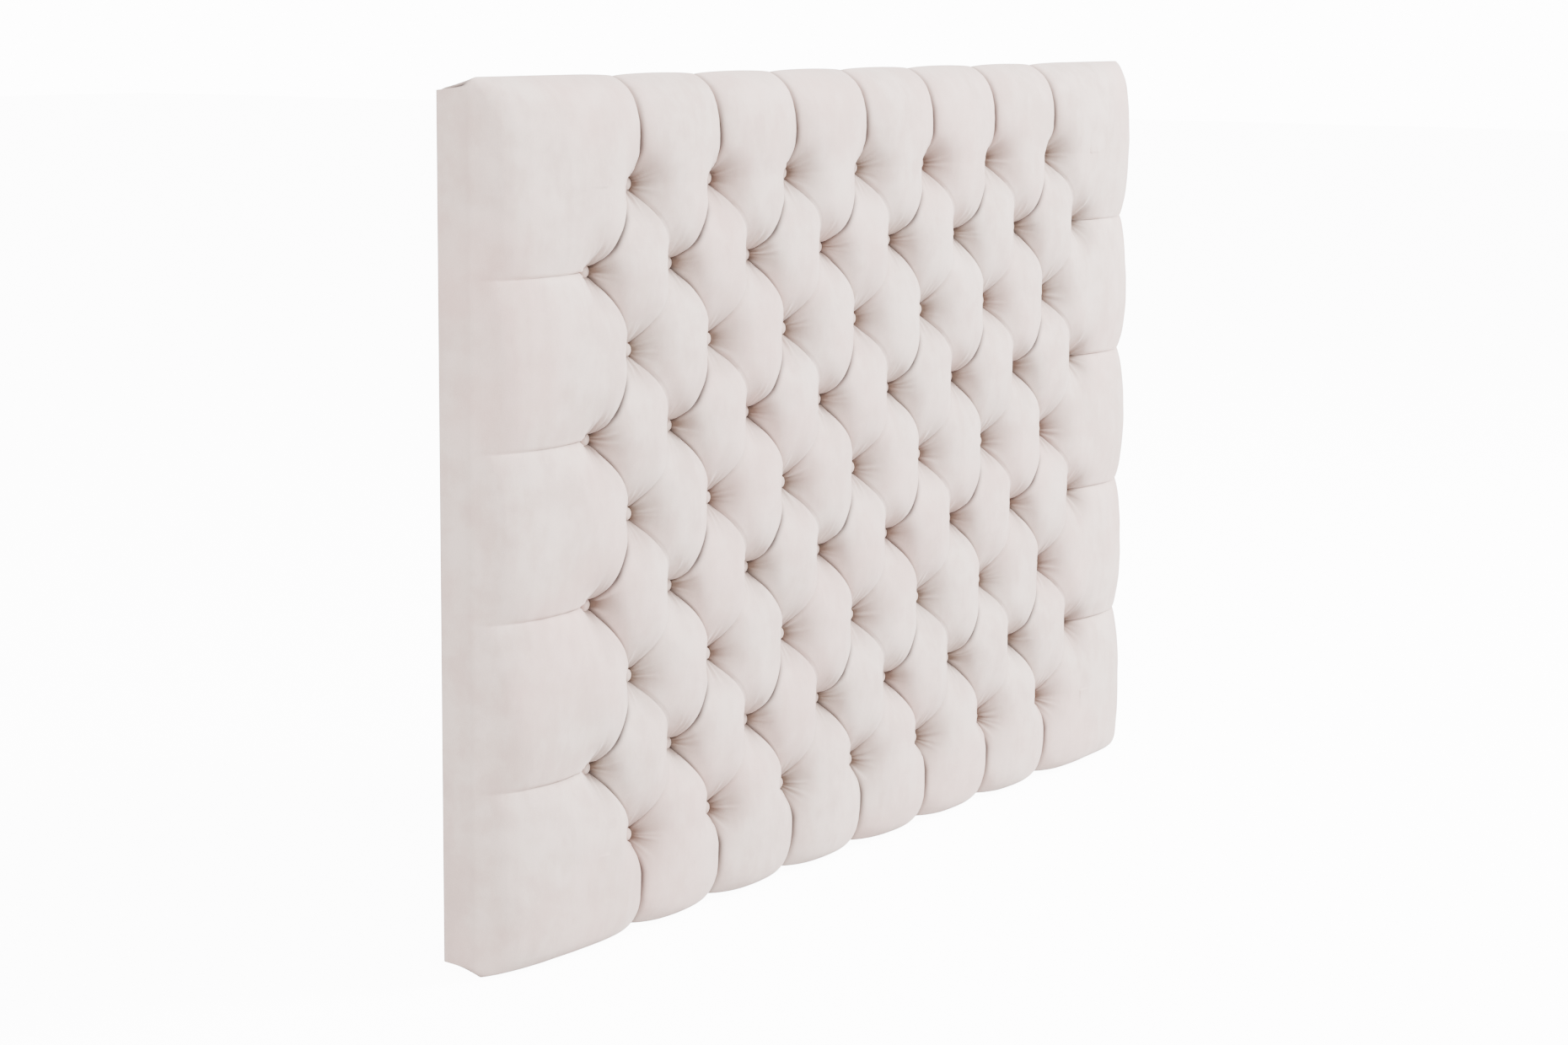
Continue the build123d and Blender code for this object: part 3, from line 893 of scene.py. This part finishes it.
    def drape(self, x: np.ndarray, z: np.ndarray) -> np.ndarray:
        """Small slow unevenness of the stuffing, from a few crossing waves.

        Args:
            x: the points' places across.
            z: the points' heights.

        Returns:
            How far the surface stands out there.
        """
        lift = np.zeros(x.shape)
        for (length, height), turn, start in zip(self.waves, self.wave_ways, self.wave_starts):
            way = x * math.cos(turn) + z * math.sin(turn)
            lift += height * np.sin(2 * math.pi * way / length + start)
        return lift

    def relief(self, parts: Masks, well: np.ndarray, strength: np.ndarray, lined: np.ndarray) -> np.ndarray:
        """How far folds and creases change the level.

        Args:
            parts: the points' parts.
            well: how far their nearest buttons are; not used here.
            strength: how deep the folds are.
            lined: the height of the creases.

        Returns:
            The change of level.
        """
        groove = self.fold_depth * np.exp(-(parts["fold"] / self.fold_width) ** 1.4)
        tuck = self.tuck_depth * parts["tucked"] * np.exp(-(parts["fold"] / self.tuck_width) ** 1.5)
        return lined - (groove + tuck) * strength

    def surface(self, x: np.ndarray, z: np.ndarray) -> tuple[np.ndarray, np.ndarray]:
        """Work out the face's points and their shadows.

        Args:
            x: the points' places across, as a grid.
            z: the points' heights, as a grid.

        Returns:
            The points, and how deep each lies in a fold's shadow and in a button's, from 0 to 1.
        """
        parts = self.parts(x, z)
        fold, tucked = parts["fold"], parts["tucked"]
        well, turn, button = self.nearest(x, z)
        rim = smoothstep(self.well_floor, self.well_rim, well)
        strength = parts["fade"] * rim
        lined = self.creases(well, turn, button) * rim
        z = z + parts["lift"]
        level = parts["level"] * np.where(parts["level"] > 0, rim, 1.0)
        level = level + self.drape(x, z) * smoothstep(*self.still_reach, well)
        level = level + self.relief(parts, well, strength, lined)
        lip = self.lip_reach * (fold / self.lip_place) * np.exp(1 - fold / self.lip_place) * strength
        x = x + parts["push_x"] * lip
        z = z + parts["push_z"] * lip
        points = np.stack([x, self.grid.seat - level, z], axis=-1)
        away = smoothstep(*self.fold_shade_reach, well)
        reach = self.fold_shade_width * (1 + (self.tucked_growth + parts["hidden"] * away) * tucked)
        in_fold = self.fold_shade * np.exp(-(fold / reach) ** 3) * strength
        in_fold = in_fold * (self.near_shade + (1 - self.near_shade) * away)
        in_fold = np.clip(in_fold * (self.proud_shade + (1 - self.proud_shade) * tucked), 0, 1)
        # Painted shade in the button wells, darkest on the right side of each button and lighter on the
        # creases
        in_well = self.well_shade * np.exp(-(well / self.well_shade_reach) ** 1.3)
        in_well = in_well * (1 - self.well_shade_swing * (1 - np.cos(turn)))
        in_well = in_well * (1 - self.crease_light * lined / self.crease_height)
        return points, np.stack([in_fold, np.clip(in_well, 0, self.well_shade_limit)], axis=-1)

    def outline_loop(self, columns: int, rows: int) -> list[int]:
        """The face mesh's outer vertices in order, starting at the top left and going right.

        Args:
            columns: how many columns of vertices there are.
            rows: how many rows there are.

        Returns:
            Their numbers.
        """
        top = list(range(columns))
        right = [row * columns + columns - 1 for row in range(1, rows)]
        bottom = [(rows - 1) * columns + column for column in range(columns - 2, -1, -1)]
        left = [row * columns for row in range(rows - 2, 0, -1)]
        return top + right + bottom + left

    def round_corners(self, points: np.ndarray) -> np.ndarray:
        """Keep points inside the outline and draw those in its corners together.

        Args:
            points: the face's points.

        Returns:
            The same array, changed.
        """
        radius = self.corner_radius
        x = np.clip(points[..., 0], -self.half_width, self.half_width)
        z = np.clip(points[..., 2], 0, self.top)
        corner_x = np.clip((np.abs(x) - (self.half_width - radius)) / radius, 0, 1)
        from_top = np.clip((z - (self.top - radius)) / radius, 0, 1)
        from_bottom = np.clip((radius - z) / radius, 0, 1)
        corner_z = np.maximum(from_top, from_bottom)
        new_x = corner_x * np.sqrt(1 - corner_z ** 2 / 2)
        new_z = corner_z * np.sqrt(1 - corner_x ** 2 / 2)
        points[..., 0] = x + np.sign(x) * (new_x - corner_x) * radius
        points[..., 2] = z + np.where(from_top > 0, 1, -1) * (new_z - corner_z) * radius
        return points

    def face_quads(self, columns: int, rows: int) -> Faces:
        """The face mesh's quads, with those between the buttons split the way their cell's pleat runs.

        Args:
            columns: how many columns of vertices there are.
            rows: how many rows there are.

        Returns:
            The faces.
        """
        grid = self.grid
        faces = []
        for row in range(rows - 1):
            for column in range(columns - 1):
                corner = row * columns + column
                quad = (corner, corner + columns, corner + columns + 1, corner + 1)
                cell_column = (column - self.side_steps) // self.cell_steps
                cell_row = (row - self.side_steps) // self.cell_steps
                inside = 0 <= cell_column < grid.cells_across and 0 <= cell_row < grid.cells_down
                if not inside:
                    faces.append(quad)
                elif (cell_column + cell_row) % 2 == 1:
                    faces += [(quad[0], quad[1], quad[2]), (quad[0], quad[2], quad[3])]
                else:
                    faces += [(quad[0], quad[1], quad[3]), (quad[1], quad[2], quad[3])]
        return faces

    def inset(self, ring: np.ndarray, reach: float) -> np.ndarray:
        """Draw a ring of points in from all four sides, mitred at the corners.

        Args:
            ring: the points.
            reach: how far they are drawn in.

        Returns:
            The new ring.
        """
        drawn = ring.copy()
        for axis in (0, 2):
            low, high = ring[:, axis].min(), ring[:, axis].max()
            limit = (high - low) / 2 - reach
            away = ring[:, axis] - (low + high) / 2
            beyond = np.clip(np.abs(away) - limit, 0, None)
            drawn[:, axis] = ring[:, axis] - np.sign(away) * beyond * self.mitre
        return drawn

    def side_rings(self, rim: np.ndarray) -> tuple[list[np.ndarray], list[np.ndarray]]:
        """Rings of points for the sides and the margin on the back, in order from the face.

        Args:
            rim: the face's outer points.

        Returns:
            The rings and their shadows.
        """
        nothing = np.zeros(len(rim))
        inward_x = -np.sign(rim[:, 0]) * smoothstep(self.edge_reach, 0.0, self.half_width - np.abs(rim[:, 0]))
        high = smoothstep(self.edge_reach, 0.0, self.top - rim[:, 2])
        low = smoothstep(self.edge_reach, 0.0, rim[:, 2])
        inward = np.stack([inward_x, nothing, low - high], axis=1)
        draw = np.stack([inward_x * self.side_draw, nothing, low * self.bottom_draw - high * self.top_draw],
                        axis=1)
        from_corner = np.hypot(np.abs(rim[:, 0]) - self.half_width, rim[:, 2] - self.top)
        dart = np.exp(-((from_corner - self.corner_radius * self.arc_gap) / self.dart_width) ** 2)
        shadow = np.stack([dart, nothing], axis=1)
        along = np.concatenate([[0], np.cumsum(np.linalg.norm(np.diff(rim, axis=0), axis=1))])
        wave = self.side_wave + sum(height * np.sin(along * turns + start)
                                    for height, turns, start in self.side_ripples)
        rings = []
        shades = []
        for share in np.linspace(0, 1, self.wall_steps + 1)[1:]:
            opening = smoothstep(*self.dart_opening, share)
            ring = rim + draw * share
            ring[:, 1] = rim[:, 1] + (self.back - rim[:, 1]) * share
            ring[:, 0] -= inward_x * self.side_swell * smoothstep(0.0, self.swell_end, share)
            ring += inward * (wave * math.sin(math.pi * share) + self.dart_depth * dart * opening)[:, None]
            rings.append(ring)
            shades.append(shadow * opening)
        edge = rings.pop()
        shades.pop()
        angles = np.linspace(0, math.pi / 2, self.bend_steps + 1)
        reaches = np.linspace(0, self.back_margin, self.margin_steps + 1)[1:]
        turned = [(self.back_bend * (1 - math.cos(angle)), self.back_bend * (1 - math.sin(angle)))
                  for angle in angles]
        turned += [(self.back_bend + reach, 0.0) for reach in reaches]
        for reach, before_back in turned:
            ring = self.inset(edge, reach)
            ring[:, 1] = self.back - before_back
            rings.append(ring)
            shades.append(self.dart_shade * shadow)
        return rings, shades

    def trim(self, points: np.ndarray) -> np.ndarray:
        """Fit the finished points into their space, which the velvet fills as it is."""
        return points

    def build(self) -> bpy.types.Object:
        """Build the piece, with its shadows as a colour attribute.

        Returns:
            The piece.
        """
        columns, rows = self.lines()
        face, shade = self.surface(*np.meshgrid(columns, rows))
        points = self.round_corners(face).reshape(-1, 3)
        loop = self.outline_loop(len(columns), len(rows))
        faces = self.face_quads(len(columns), len(rows))
        rings, ring_shades = self.side_rings(points[loop])
        previous = loop
        for number in range(len(rings)):
            first = len(points) + number * len(loop)
            current = list(range(first, first + len(loop)))
            for index in range(len(loop)):
                after = (index + 1) % len(loop)
                faces.append((previous[index], previous[after], current[after], current[index]))
            previous = current
        piece = make_mesh(self.name, self.trim(np.concatenate([points, *rings])), faces)
        # The painted shade of folds, wells and corner darts, multiplied into the velvet's colour through this
        # attribute
        layer = piece.data.attributes.new("shade", "FLOAT_COLOR", "POINT")
        shades = np.concatenate([shade.reshape(-1, 2), *ring_shades])
        in_fold = 1 - shades[:, :1] * (1 - np.array([*self.fold_shade_tint, 1.0]))
        in_well = 1 - shades[:, 1:] * (1 - np.array([*self.well_shade_tint, 1.0]))
        layer.data.foreach_set("color", (in_fold * in_well).ravel())
        return piece


@dataclass
class FibreLayer(VelvetCover):
    """The fibre filling: the velvet's form a little further in, without its lips and creases."""

    name: str = "fibre_layer"
    gap: float = 4 * MM
    groove: float = 8 * MM
    lip_reach: float = 0.0
    back_margin: float = 4 * MM
    cell_steps: int = 12
    side_steps: int = 24

    def relief(self, parts: Masks, well: np.ndarray, strength: np.ndarray, lined: np.ndarray) -> np.ndarray:
        """How far the filling lies under the velvet.

        Args:
            parts: the points' parts.
            well: how far their nearest buttons are.
            strength: how deep the folds are.
            lined: the height of the velvet's creases, which the filling doesn't have; not used.

        Returns:
            The change of level.
        """
        groove = self.groove * np.exp(-(parts["fold"] / self.tuck_width) ** 2) * strength
        return -self.gap - groove - self.gap * np.exp(-(well / (2 * self.well_reach)) ** 2)

    def trim(self, points: np.ndarray) -> np.ndarray:
        """Set the sides in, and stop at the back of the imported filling.

        Args:
            points: the finished points.

        Returns:
            The same array, changed.
        """
        points[:, 0] *= 1 - self.gap / self.half_width
        points[:, 2] = self.gap + points[:, 2] * (1 - 2 * self.gap / self.top)
        points[:, 1] = np.minimum(points[:, 1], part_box("fibre_filling")[1][1])
        return points


@dataclass
class CoveredButtons:
    """The self-covered buttons: domes with velvet drawn over the rim in small gathers."""

    grid: ButtonGrid
    rise: float = 7.6 * MM
    girth: float = 0.88
    rim_rise: float = 0.28
    last_lean: float = 0.56 * math.pi
    flatness: float = 0.85
    rings: int = 12
    spokes: int = 40
    gathers: int = 11
    gather_depth: float = 0.35 * MM
    turn_step: float = 0.9

    def dome(self, turn: float) -> tuple[np.ndarray, Faces]:
        """Build one button about the origin, facing the front.

        Args:
            turn: the angle by which its gathers are turned.

        Returns:
            The points and the faces.
        """
        points = [(0.0, -self.rise, 0.0)]
        for ring in range(1, self.rings + 1):
            lean = ring / self.rings * self.last_lean
            radius = self.girth * self.grid.button_radius * math.sin(lean) ** self.flatness
            height = math.cos(lean) * (1 - self.rim_rise) + self.rim_rise
            depth = self.rise * height if lean < math.pi / 2 else 0.0
            gather = self.gather_depth * (ring / self.rings) ** 3
            for spoke in range(self.spokes):
                angle = 2 * math.pi * spoke / self.spokes
                ripple = gather * math.sin(self.gathers * angle + turn)
                points.append(((radius + ripple) * math.cos(angle), -depth - ripple / 2,
                               (radius + ripple) * math.sin(angle)))
        faces = []
        for spoke in range(self.spokes):
            after = (spoke + 1) % self.spokes
            faces.append((0, 1 + after, 1 + spoke))
            for ring in range(self.rings - 1):
                inner = 1 + ring * self.spokes
                outer = inner + self.spokes
                faces.append((inner + spoke, inner + after, outer + after, outer + spoke))
        last_ring = 1 + (self.rings - 1) * self.spokes
        faces.append(tuple(range(last_ring, last_ring + self.spokes)))
        return np.array(points), faces

    def build_row(self, row: int) -> bpy.types.Object:
        """Build one row of buttons as one piece.

        Args:
            row: the row's number, from the top.

        Returns:
            The piece.
        """
        points = []
        faces = []
        for index, (x, z) in enumerate(self.grid.places(row)):
            dome, dome_faces = self.dome(self.turn_step * index + row)
            base = index * len(dome)
            points.append(dome + np.array([x, self.grid.button_back, z]))
            faces.extend(tuple(base + corner for corner in face) for face in dome_faces)
        return make_mesh(f"covered_buttons_{row + 1}", np.concatenate(points), faces)


@dataclass
class DustCover:
    """The black nonwoven cloth stapled over the back, open at the bolt inserts."""

    bolt_spacing: float
    pitch: float = 15 * MM
    hole_radius: float = 9 * MM
    hole_steps: int = 4
    sag: float = 0.8 * MM
    slack_reach: tuple[float, float] = (30 * MM, 120 * MM)
    slack_waves: tuple[tuple[float, float], ...] = ((21.0, 7.0), (-5.0, 17.0))
    hem: float = 12 * MM
    hem_rise: float = 0.25 * MM
    narrowest: float = 2 * MM

    def lines(self, low: float, high: float, through: float) -> np.ndarray:
        """Places for grid lines.

        Args:
            low: the first line's place.
            high: the last line's place.
            through: a place that one of the lines between passes through.

        Returns:
            The places in order.
        """
        start = through - self.pitch * math.floor((through - low) / self.pitch)
        inner = np.arange(start, high, self.pitch)
        inner = inner[(inner > low + self.narrowest) & (inner < high - self.narrowest)]
        return np.concatenate([[low], inner, [high]])

    def bolts(self) -> list[tuple[float, float]]:
        """The bolt inserts' places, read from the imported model.

        Returns:
            How far across and how high each is.
        """
        low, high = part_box("bolt_inserts")
        radius = (high[0] - low[0] - self.bolt_spacing) / 2
        heights = (low[2] + radius, high[2] - radius)
        return [(side * (high[0] - radius), height) for side in (-1, 1) for height in heights]

    def build(self) -> bpy.types.Object:
        """Build the cloth as a grid with a ring round each bolt hole.

        Returns:
            The piece.
        """
        low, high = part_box("dust_cover")
        bolts = self.bolts()
        columns = self.lines(low[0], high[0], bolts[-1][0])
        rows = self.lines(low[2], high[2], bolts[0][1])
        x, z = np.meshgrid(columns, rows)
        inner = np.minimum(np.minimum(x - low[0], high[0] - x), np.minimum(z - low[2], high[2] - z))
        waves = 0.5 + 0.25 * sum(np.sin(x * turns_x + z * turns_z) for turns_x, turns_z in self.slack_waves)
        slack = self.sag * smoothstep(*self.slack_reach, inner) * waves
        y = high[1] - slack - self.hem_rise * (inner > self.hem)
        points = list(np.stack([x, y, z], axis=-1).reshape(-1, 3))
        count = len(columns)
        around = ((-1, -1), (0, -1), (1, -1), (1, 0), (1, 1), (0, 1), (-1, 1), (-1, 0))
        size = len(around) * self.hole_steps
        collars = []
        taken = set()
        for bolt_x, bolt_z in bolts:
            column = int(np.argmin(np.abs(columns - bolt_x)))
            row = int(np.argmin(np.abs(rows - bolt_z)))
            taken.update((row + down, column + across) for down in (-1, 0) for across in (-1, 0))
            square = [(row + down) * count + column + across for across, down in around]
            level = points[row * count + column][1]
            first = len(points)
            for step in range(size):
                angle = 2 * math.pi * step / size - 0.75 * math.pi
                points.append(np.array([bolt_x + self.hole_radius * math.cos(angle), level,
                                        bolt_z + self.hole_radius * math.sin(angle)]))
            for index in range(len(around)):
                arc = [first + (index * self.hole_steps + step) % size for step in range(self.hole_steps + 1)]
                collars.append((square[index], square[(index + 1) % len(around)], *reversed(arc)))
        corners = [row * count + column for row in range(len(rows) - 1) for column in range(count - 1)
                   if (row, column) not in taken]
        faces = [(corner, corner + 1, corner + count + 1, corner + count) for corner in corners]
        return make_mesh("back_lining", np.array(points), faces + collars)


@dataclass(frozen=True)
class Lamp:
    """One soft square light that faces a target."""

    name: str
    place: tuple[float, float, float]
    target: tuple[float, float, float]
    size: float
    power: float
    tint: Colour = (1.0, 1.0, 1.0)

    def build(self) -> None:
        """Hang the light."""
        data = bpy.data.lights.new(self.name, "AREA")
        data.shape = "SQUARE"
        data.size = self.size
        data.energy = self.power
        data.color = self.tint
        lamp = bpy.data.objects.new(self.name, data)
        lamp.location = self.place
        facing = Vector(self.target) - Vector(self.place)
        lamp.rotation_euler = facing.to_track_quat("-Z", "Y").to_euler()
        bpy.context.scene.collection.objects.link(lamp)


@dataclass
class Studio:
    """The pale floor, soft lights and the camera at the photo's angle."""

    image_width: float = 1860.0
    focal_px: float = 4061.0
    sensor: float = 36.0
    place: tuple[float, float, float] = (-4.3988, -2.7569, 1.3012)
    yaw: float = 0.994290
    pitch: float = 0.151707
    roll: float = 0.006096
    daylight: float = 1.2
    backdrop: float = 14.0
    floor_glow: float = 12.0
    floor_size: float = 30.0
    floor_grey: float = 0.5
    floor_roughness: float = 0.9
    lamps: tuple[Lamp, ...] = (
        Lamp("key", (4.4, -3.8, 4.2), (0.0, 0.0, 0.8), 2.0, 1550.0),
        Lamp("fill", (-5.0, -2.4, 3.2), (-0.3, 0.0, 0.8), 3.0, 400.0, (1.0, 0.93, 0.91)))

    def camera(self) -> None:
        """Place the camera as fitted to the photo's button grid."""
        data = bpy.data.cameras.new("camera")
        data.sensor_width = self.sensor
        data.lens = self.focal_px / self.image_width * self.sensor
        camera = bpy.data.objects.new("camera", data)
        level = math.cos(self.pitch)
        forward = Vector((math.sin(self.yaw) * level, math.cos(self.yaw) * level, -math.sin(self.pitch)))
        right = Vector((math.cos(self.yaw), -math.sin(self.yaw), 0.0))
        upward = right.cross(forward)
        turned_right = right * math.cos(self.roll) + upward * math.sin(self.roll)
        turned_up = upward * math.cos(self.roll) - right * math.sin(self.roll)
        axes = Matrix((turned_right, turned_up, -forward)).transposed()
        camera.matrix_world = Matrix.Translation(Vector(self.place)) @ axes.to_4x4()
        bpy.context.scene.collection.objects.link(camera)
        bpy.context.scene.camera = camera

    def floor(self) -> None:
        """Lay the pale floor, which glows only for the camera."""
        size = self.floor_size
        points = np.array([(-size, -size, 0), (size, -size, 0), (size, size, 0), (-size, size, 0)])
        floor = make_mesh("studio_floor", points, [(0, 1, 2, 3)])
        material = bpy.data.materials.new("studio_floor")
        material.use_nodes = True
        shader = material.node_tree.nodes["Principled BSDF"]
        shader.inputs["Base Color"].default_value = (*[self.floor_grey] * 3, 1.0)
        shader.inputs["Roughness"].default_value = self.floor_roughness
        shader.inputs["Emission Strength"].default_value = self.floor_glow
        kit = NodeKit(material.node_tree)
        kit.join(kit.add("ShaderNodeLightPath").outputs["Is Camera Ray"], shader.inputs["Emission Color"])
        floor.data.materials.append(material)

    def build(self) -> None:
        """Set up the whole studio."""
        world = bpy.data.worlds.new("studio")
        world.use_nodes = True
        background = world.node_tree.nodes["Background"]
        background.inputs["Color"].default_value = (1.0, 1.0, 1.0, 1.0)
        kit = NodeKit(world.node_tree)
        seen = kit.math("MULTIPLY", kit.add("ShaderNodeLightPath").outputs["Is Camera Ray"],
                        self.backdrop - self.daylight)
        kit.join(kit.math("ADD", seen, self.daylight), background.inputs["Strength"])
        bpy.context.scene.world = world
        self.floor()
        for lamp in self.lamps:
            lamp.build()
        self.camera()
        log.info("studio: %d lights", len(self.lamps))


def carried_materials(groups: dict[str, Tree]) -> dict[str, bpy.types.Material]:
    """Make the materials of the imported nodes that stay.

    Args:
        groups: the look groups by name.

    Returns:
        The materials by the record's slot names.
    """
    grain, fibre, wear = groups["grain"], groups["fibre"], groups["wear"]
    small = {finish: look.material(finish.value, wear) for finish, look in SMALL_FINISHES.items()}
    return {
        "timber": Wood((0.60, 0.42, 0.22), (0.42, 0.26, 0.12)).material("planed_softwood", grain),
        "plywood": Wood((0.62, 0.46, 0.27), (0.50, 0.34, 0.18)).material("birch_plywood", grain),
        "wadding": Fibre((0.88, 0.88, 0.86), (0.76, 0.76, 0.74), 0.8 * MM).material("fibre_wadding", fibre),
        "foam": Fibre((0.83, 0.76, 0.52), (0.70, 0.62, 0.40), 0.4 * MM).material("cream_foam", fibre),
        "twine": Fibre((0.75, 0.70, 0.60), (0.58, 0.53, 0.44)).material("waxed_twine", fibre),
        "lining": Fibre((0.022, 0.022, 0.024), (0.010, 0.010, 0.011)).material("black_nonwoven", fibre),
        "screw_steel": small[Finish.YELLOW_ZINC],
        "staple_steel": small[Finish.WIRE],
        "insert_steel": small[Finish.ZINC],
        "button_steel": small[Finish.WIRE],
        "nylon": small[Finish.NYLON],
    }


def dress_nodes(frame: dict, finishes: dict[str, bpy.types.Material]) -> None:
    """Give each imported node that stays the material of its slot.

    Args:
        frame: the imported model, as loaded.
        finishes: the materials by slot name.
    """
    slots = {entry["node"]: entry["material_slot"] for entry in frame["record"]["subparts"]}
    for name, node in frame["nodes"].items():
        material = finishes.get(slots[name])
        if material is None:
            continue
        node.data.materials.clear()
        node.data.materials.append(material)
        log.info("%s: %s", name, material.name)


def main() -> None:
    """Build the headboard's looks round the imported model."""
    logging.basicConfig(level=logging.INFO)
    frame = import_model()
    mounts = {mount["name"]: mount for mount in frame["record"]["mounts"]}
    groups = {"nap": nap_group(), "grain": grain_group(), "fibre": fibre_group(), "wear": wear_group()}
    finishes = carried_materials(groups)
    dress_nodes(frame, finishes)
    grid = ButtonGrid.from_frame()
    settle(FibreLayer(grid).build(), finishes["wadding"], "fibre_filling")
    cover = VelvetCover(grid).build()
    settle(cover, Velvet().material("tufted_velvet", groups["nap"], "shade"), "velvet_cover")
    drawn = Velvet(light=(0.66, 0.52, 0.46), dark=(0.55, 0.42, 0.37), patches=0.5)
    button_material = drawn.material("button_velvet", groups["nap"], None)
    buttons = CoveredButtons(grid)
    for row in range(grid.cells_down + 1):
        settle(buttons.build_row(row), button_material, f"buttons_row_{row + 1}")
    lining = DustCover(mounts["bed_bolts"]["dims"]["spacing_x_mm"] * MM).build()
    settle(lining, finishes["lining"], "dust_cover")
    Studio().build()


if __name__ == "__main__":
    main()
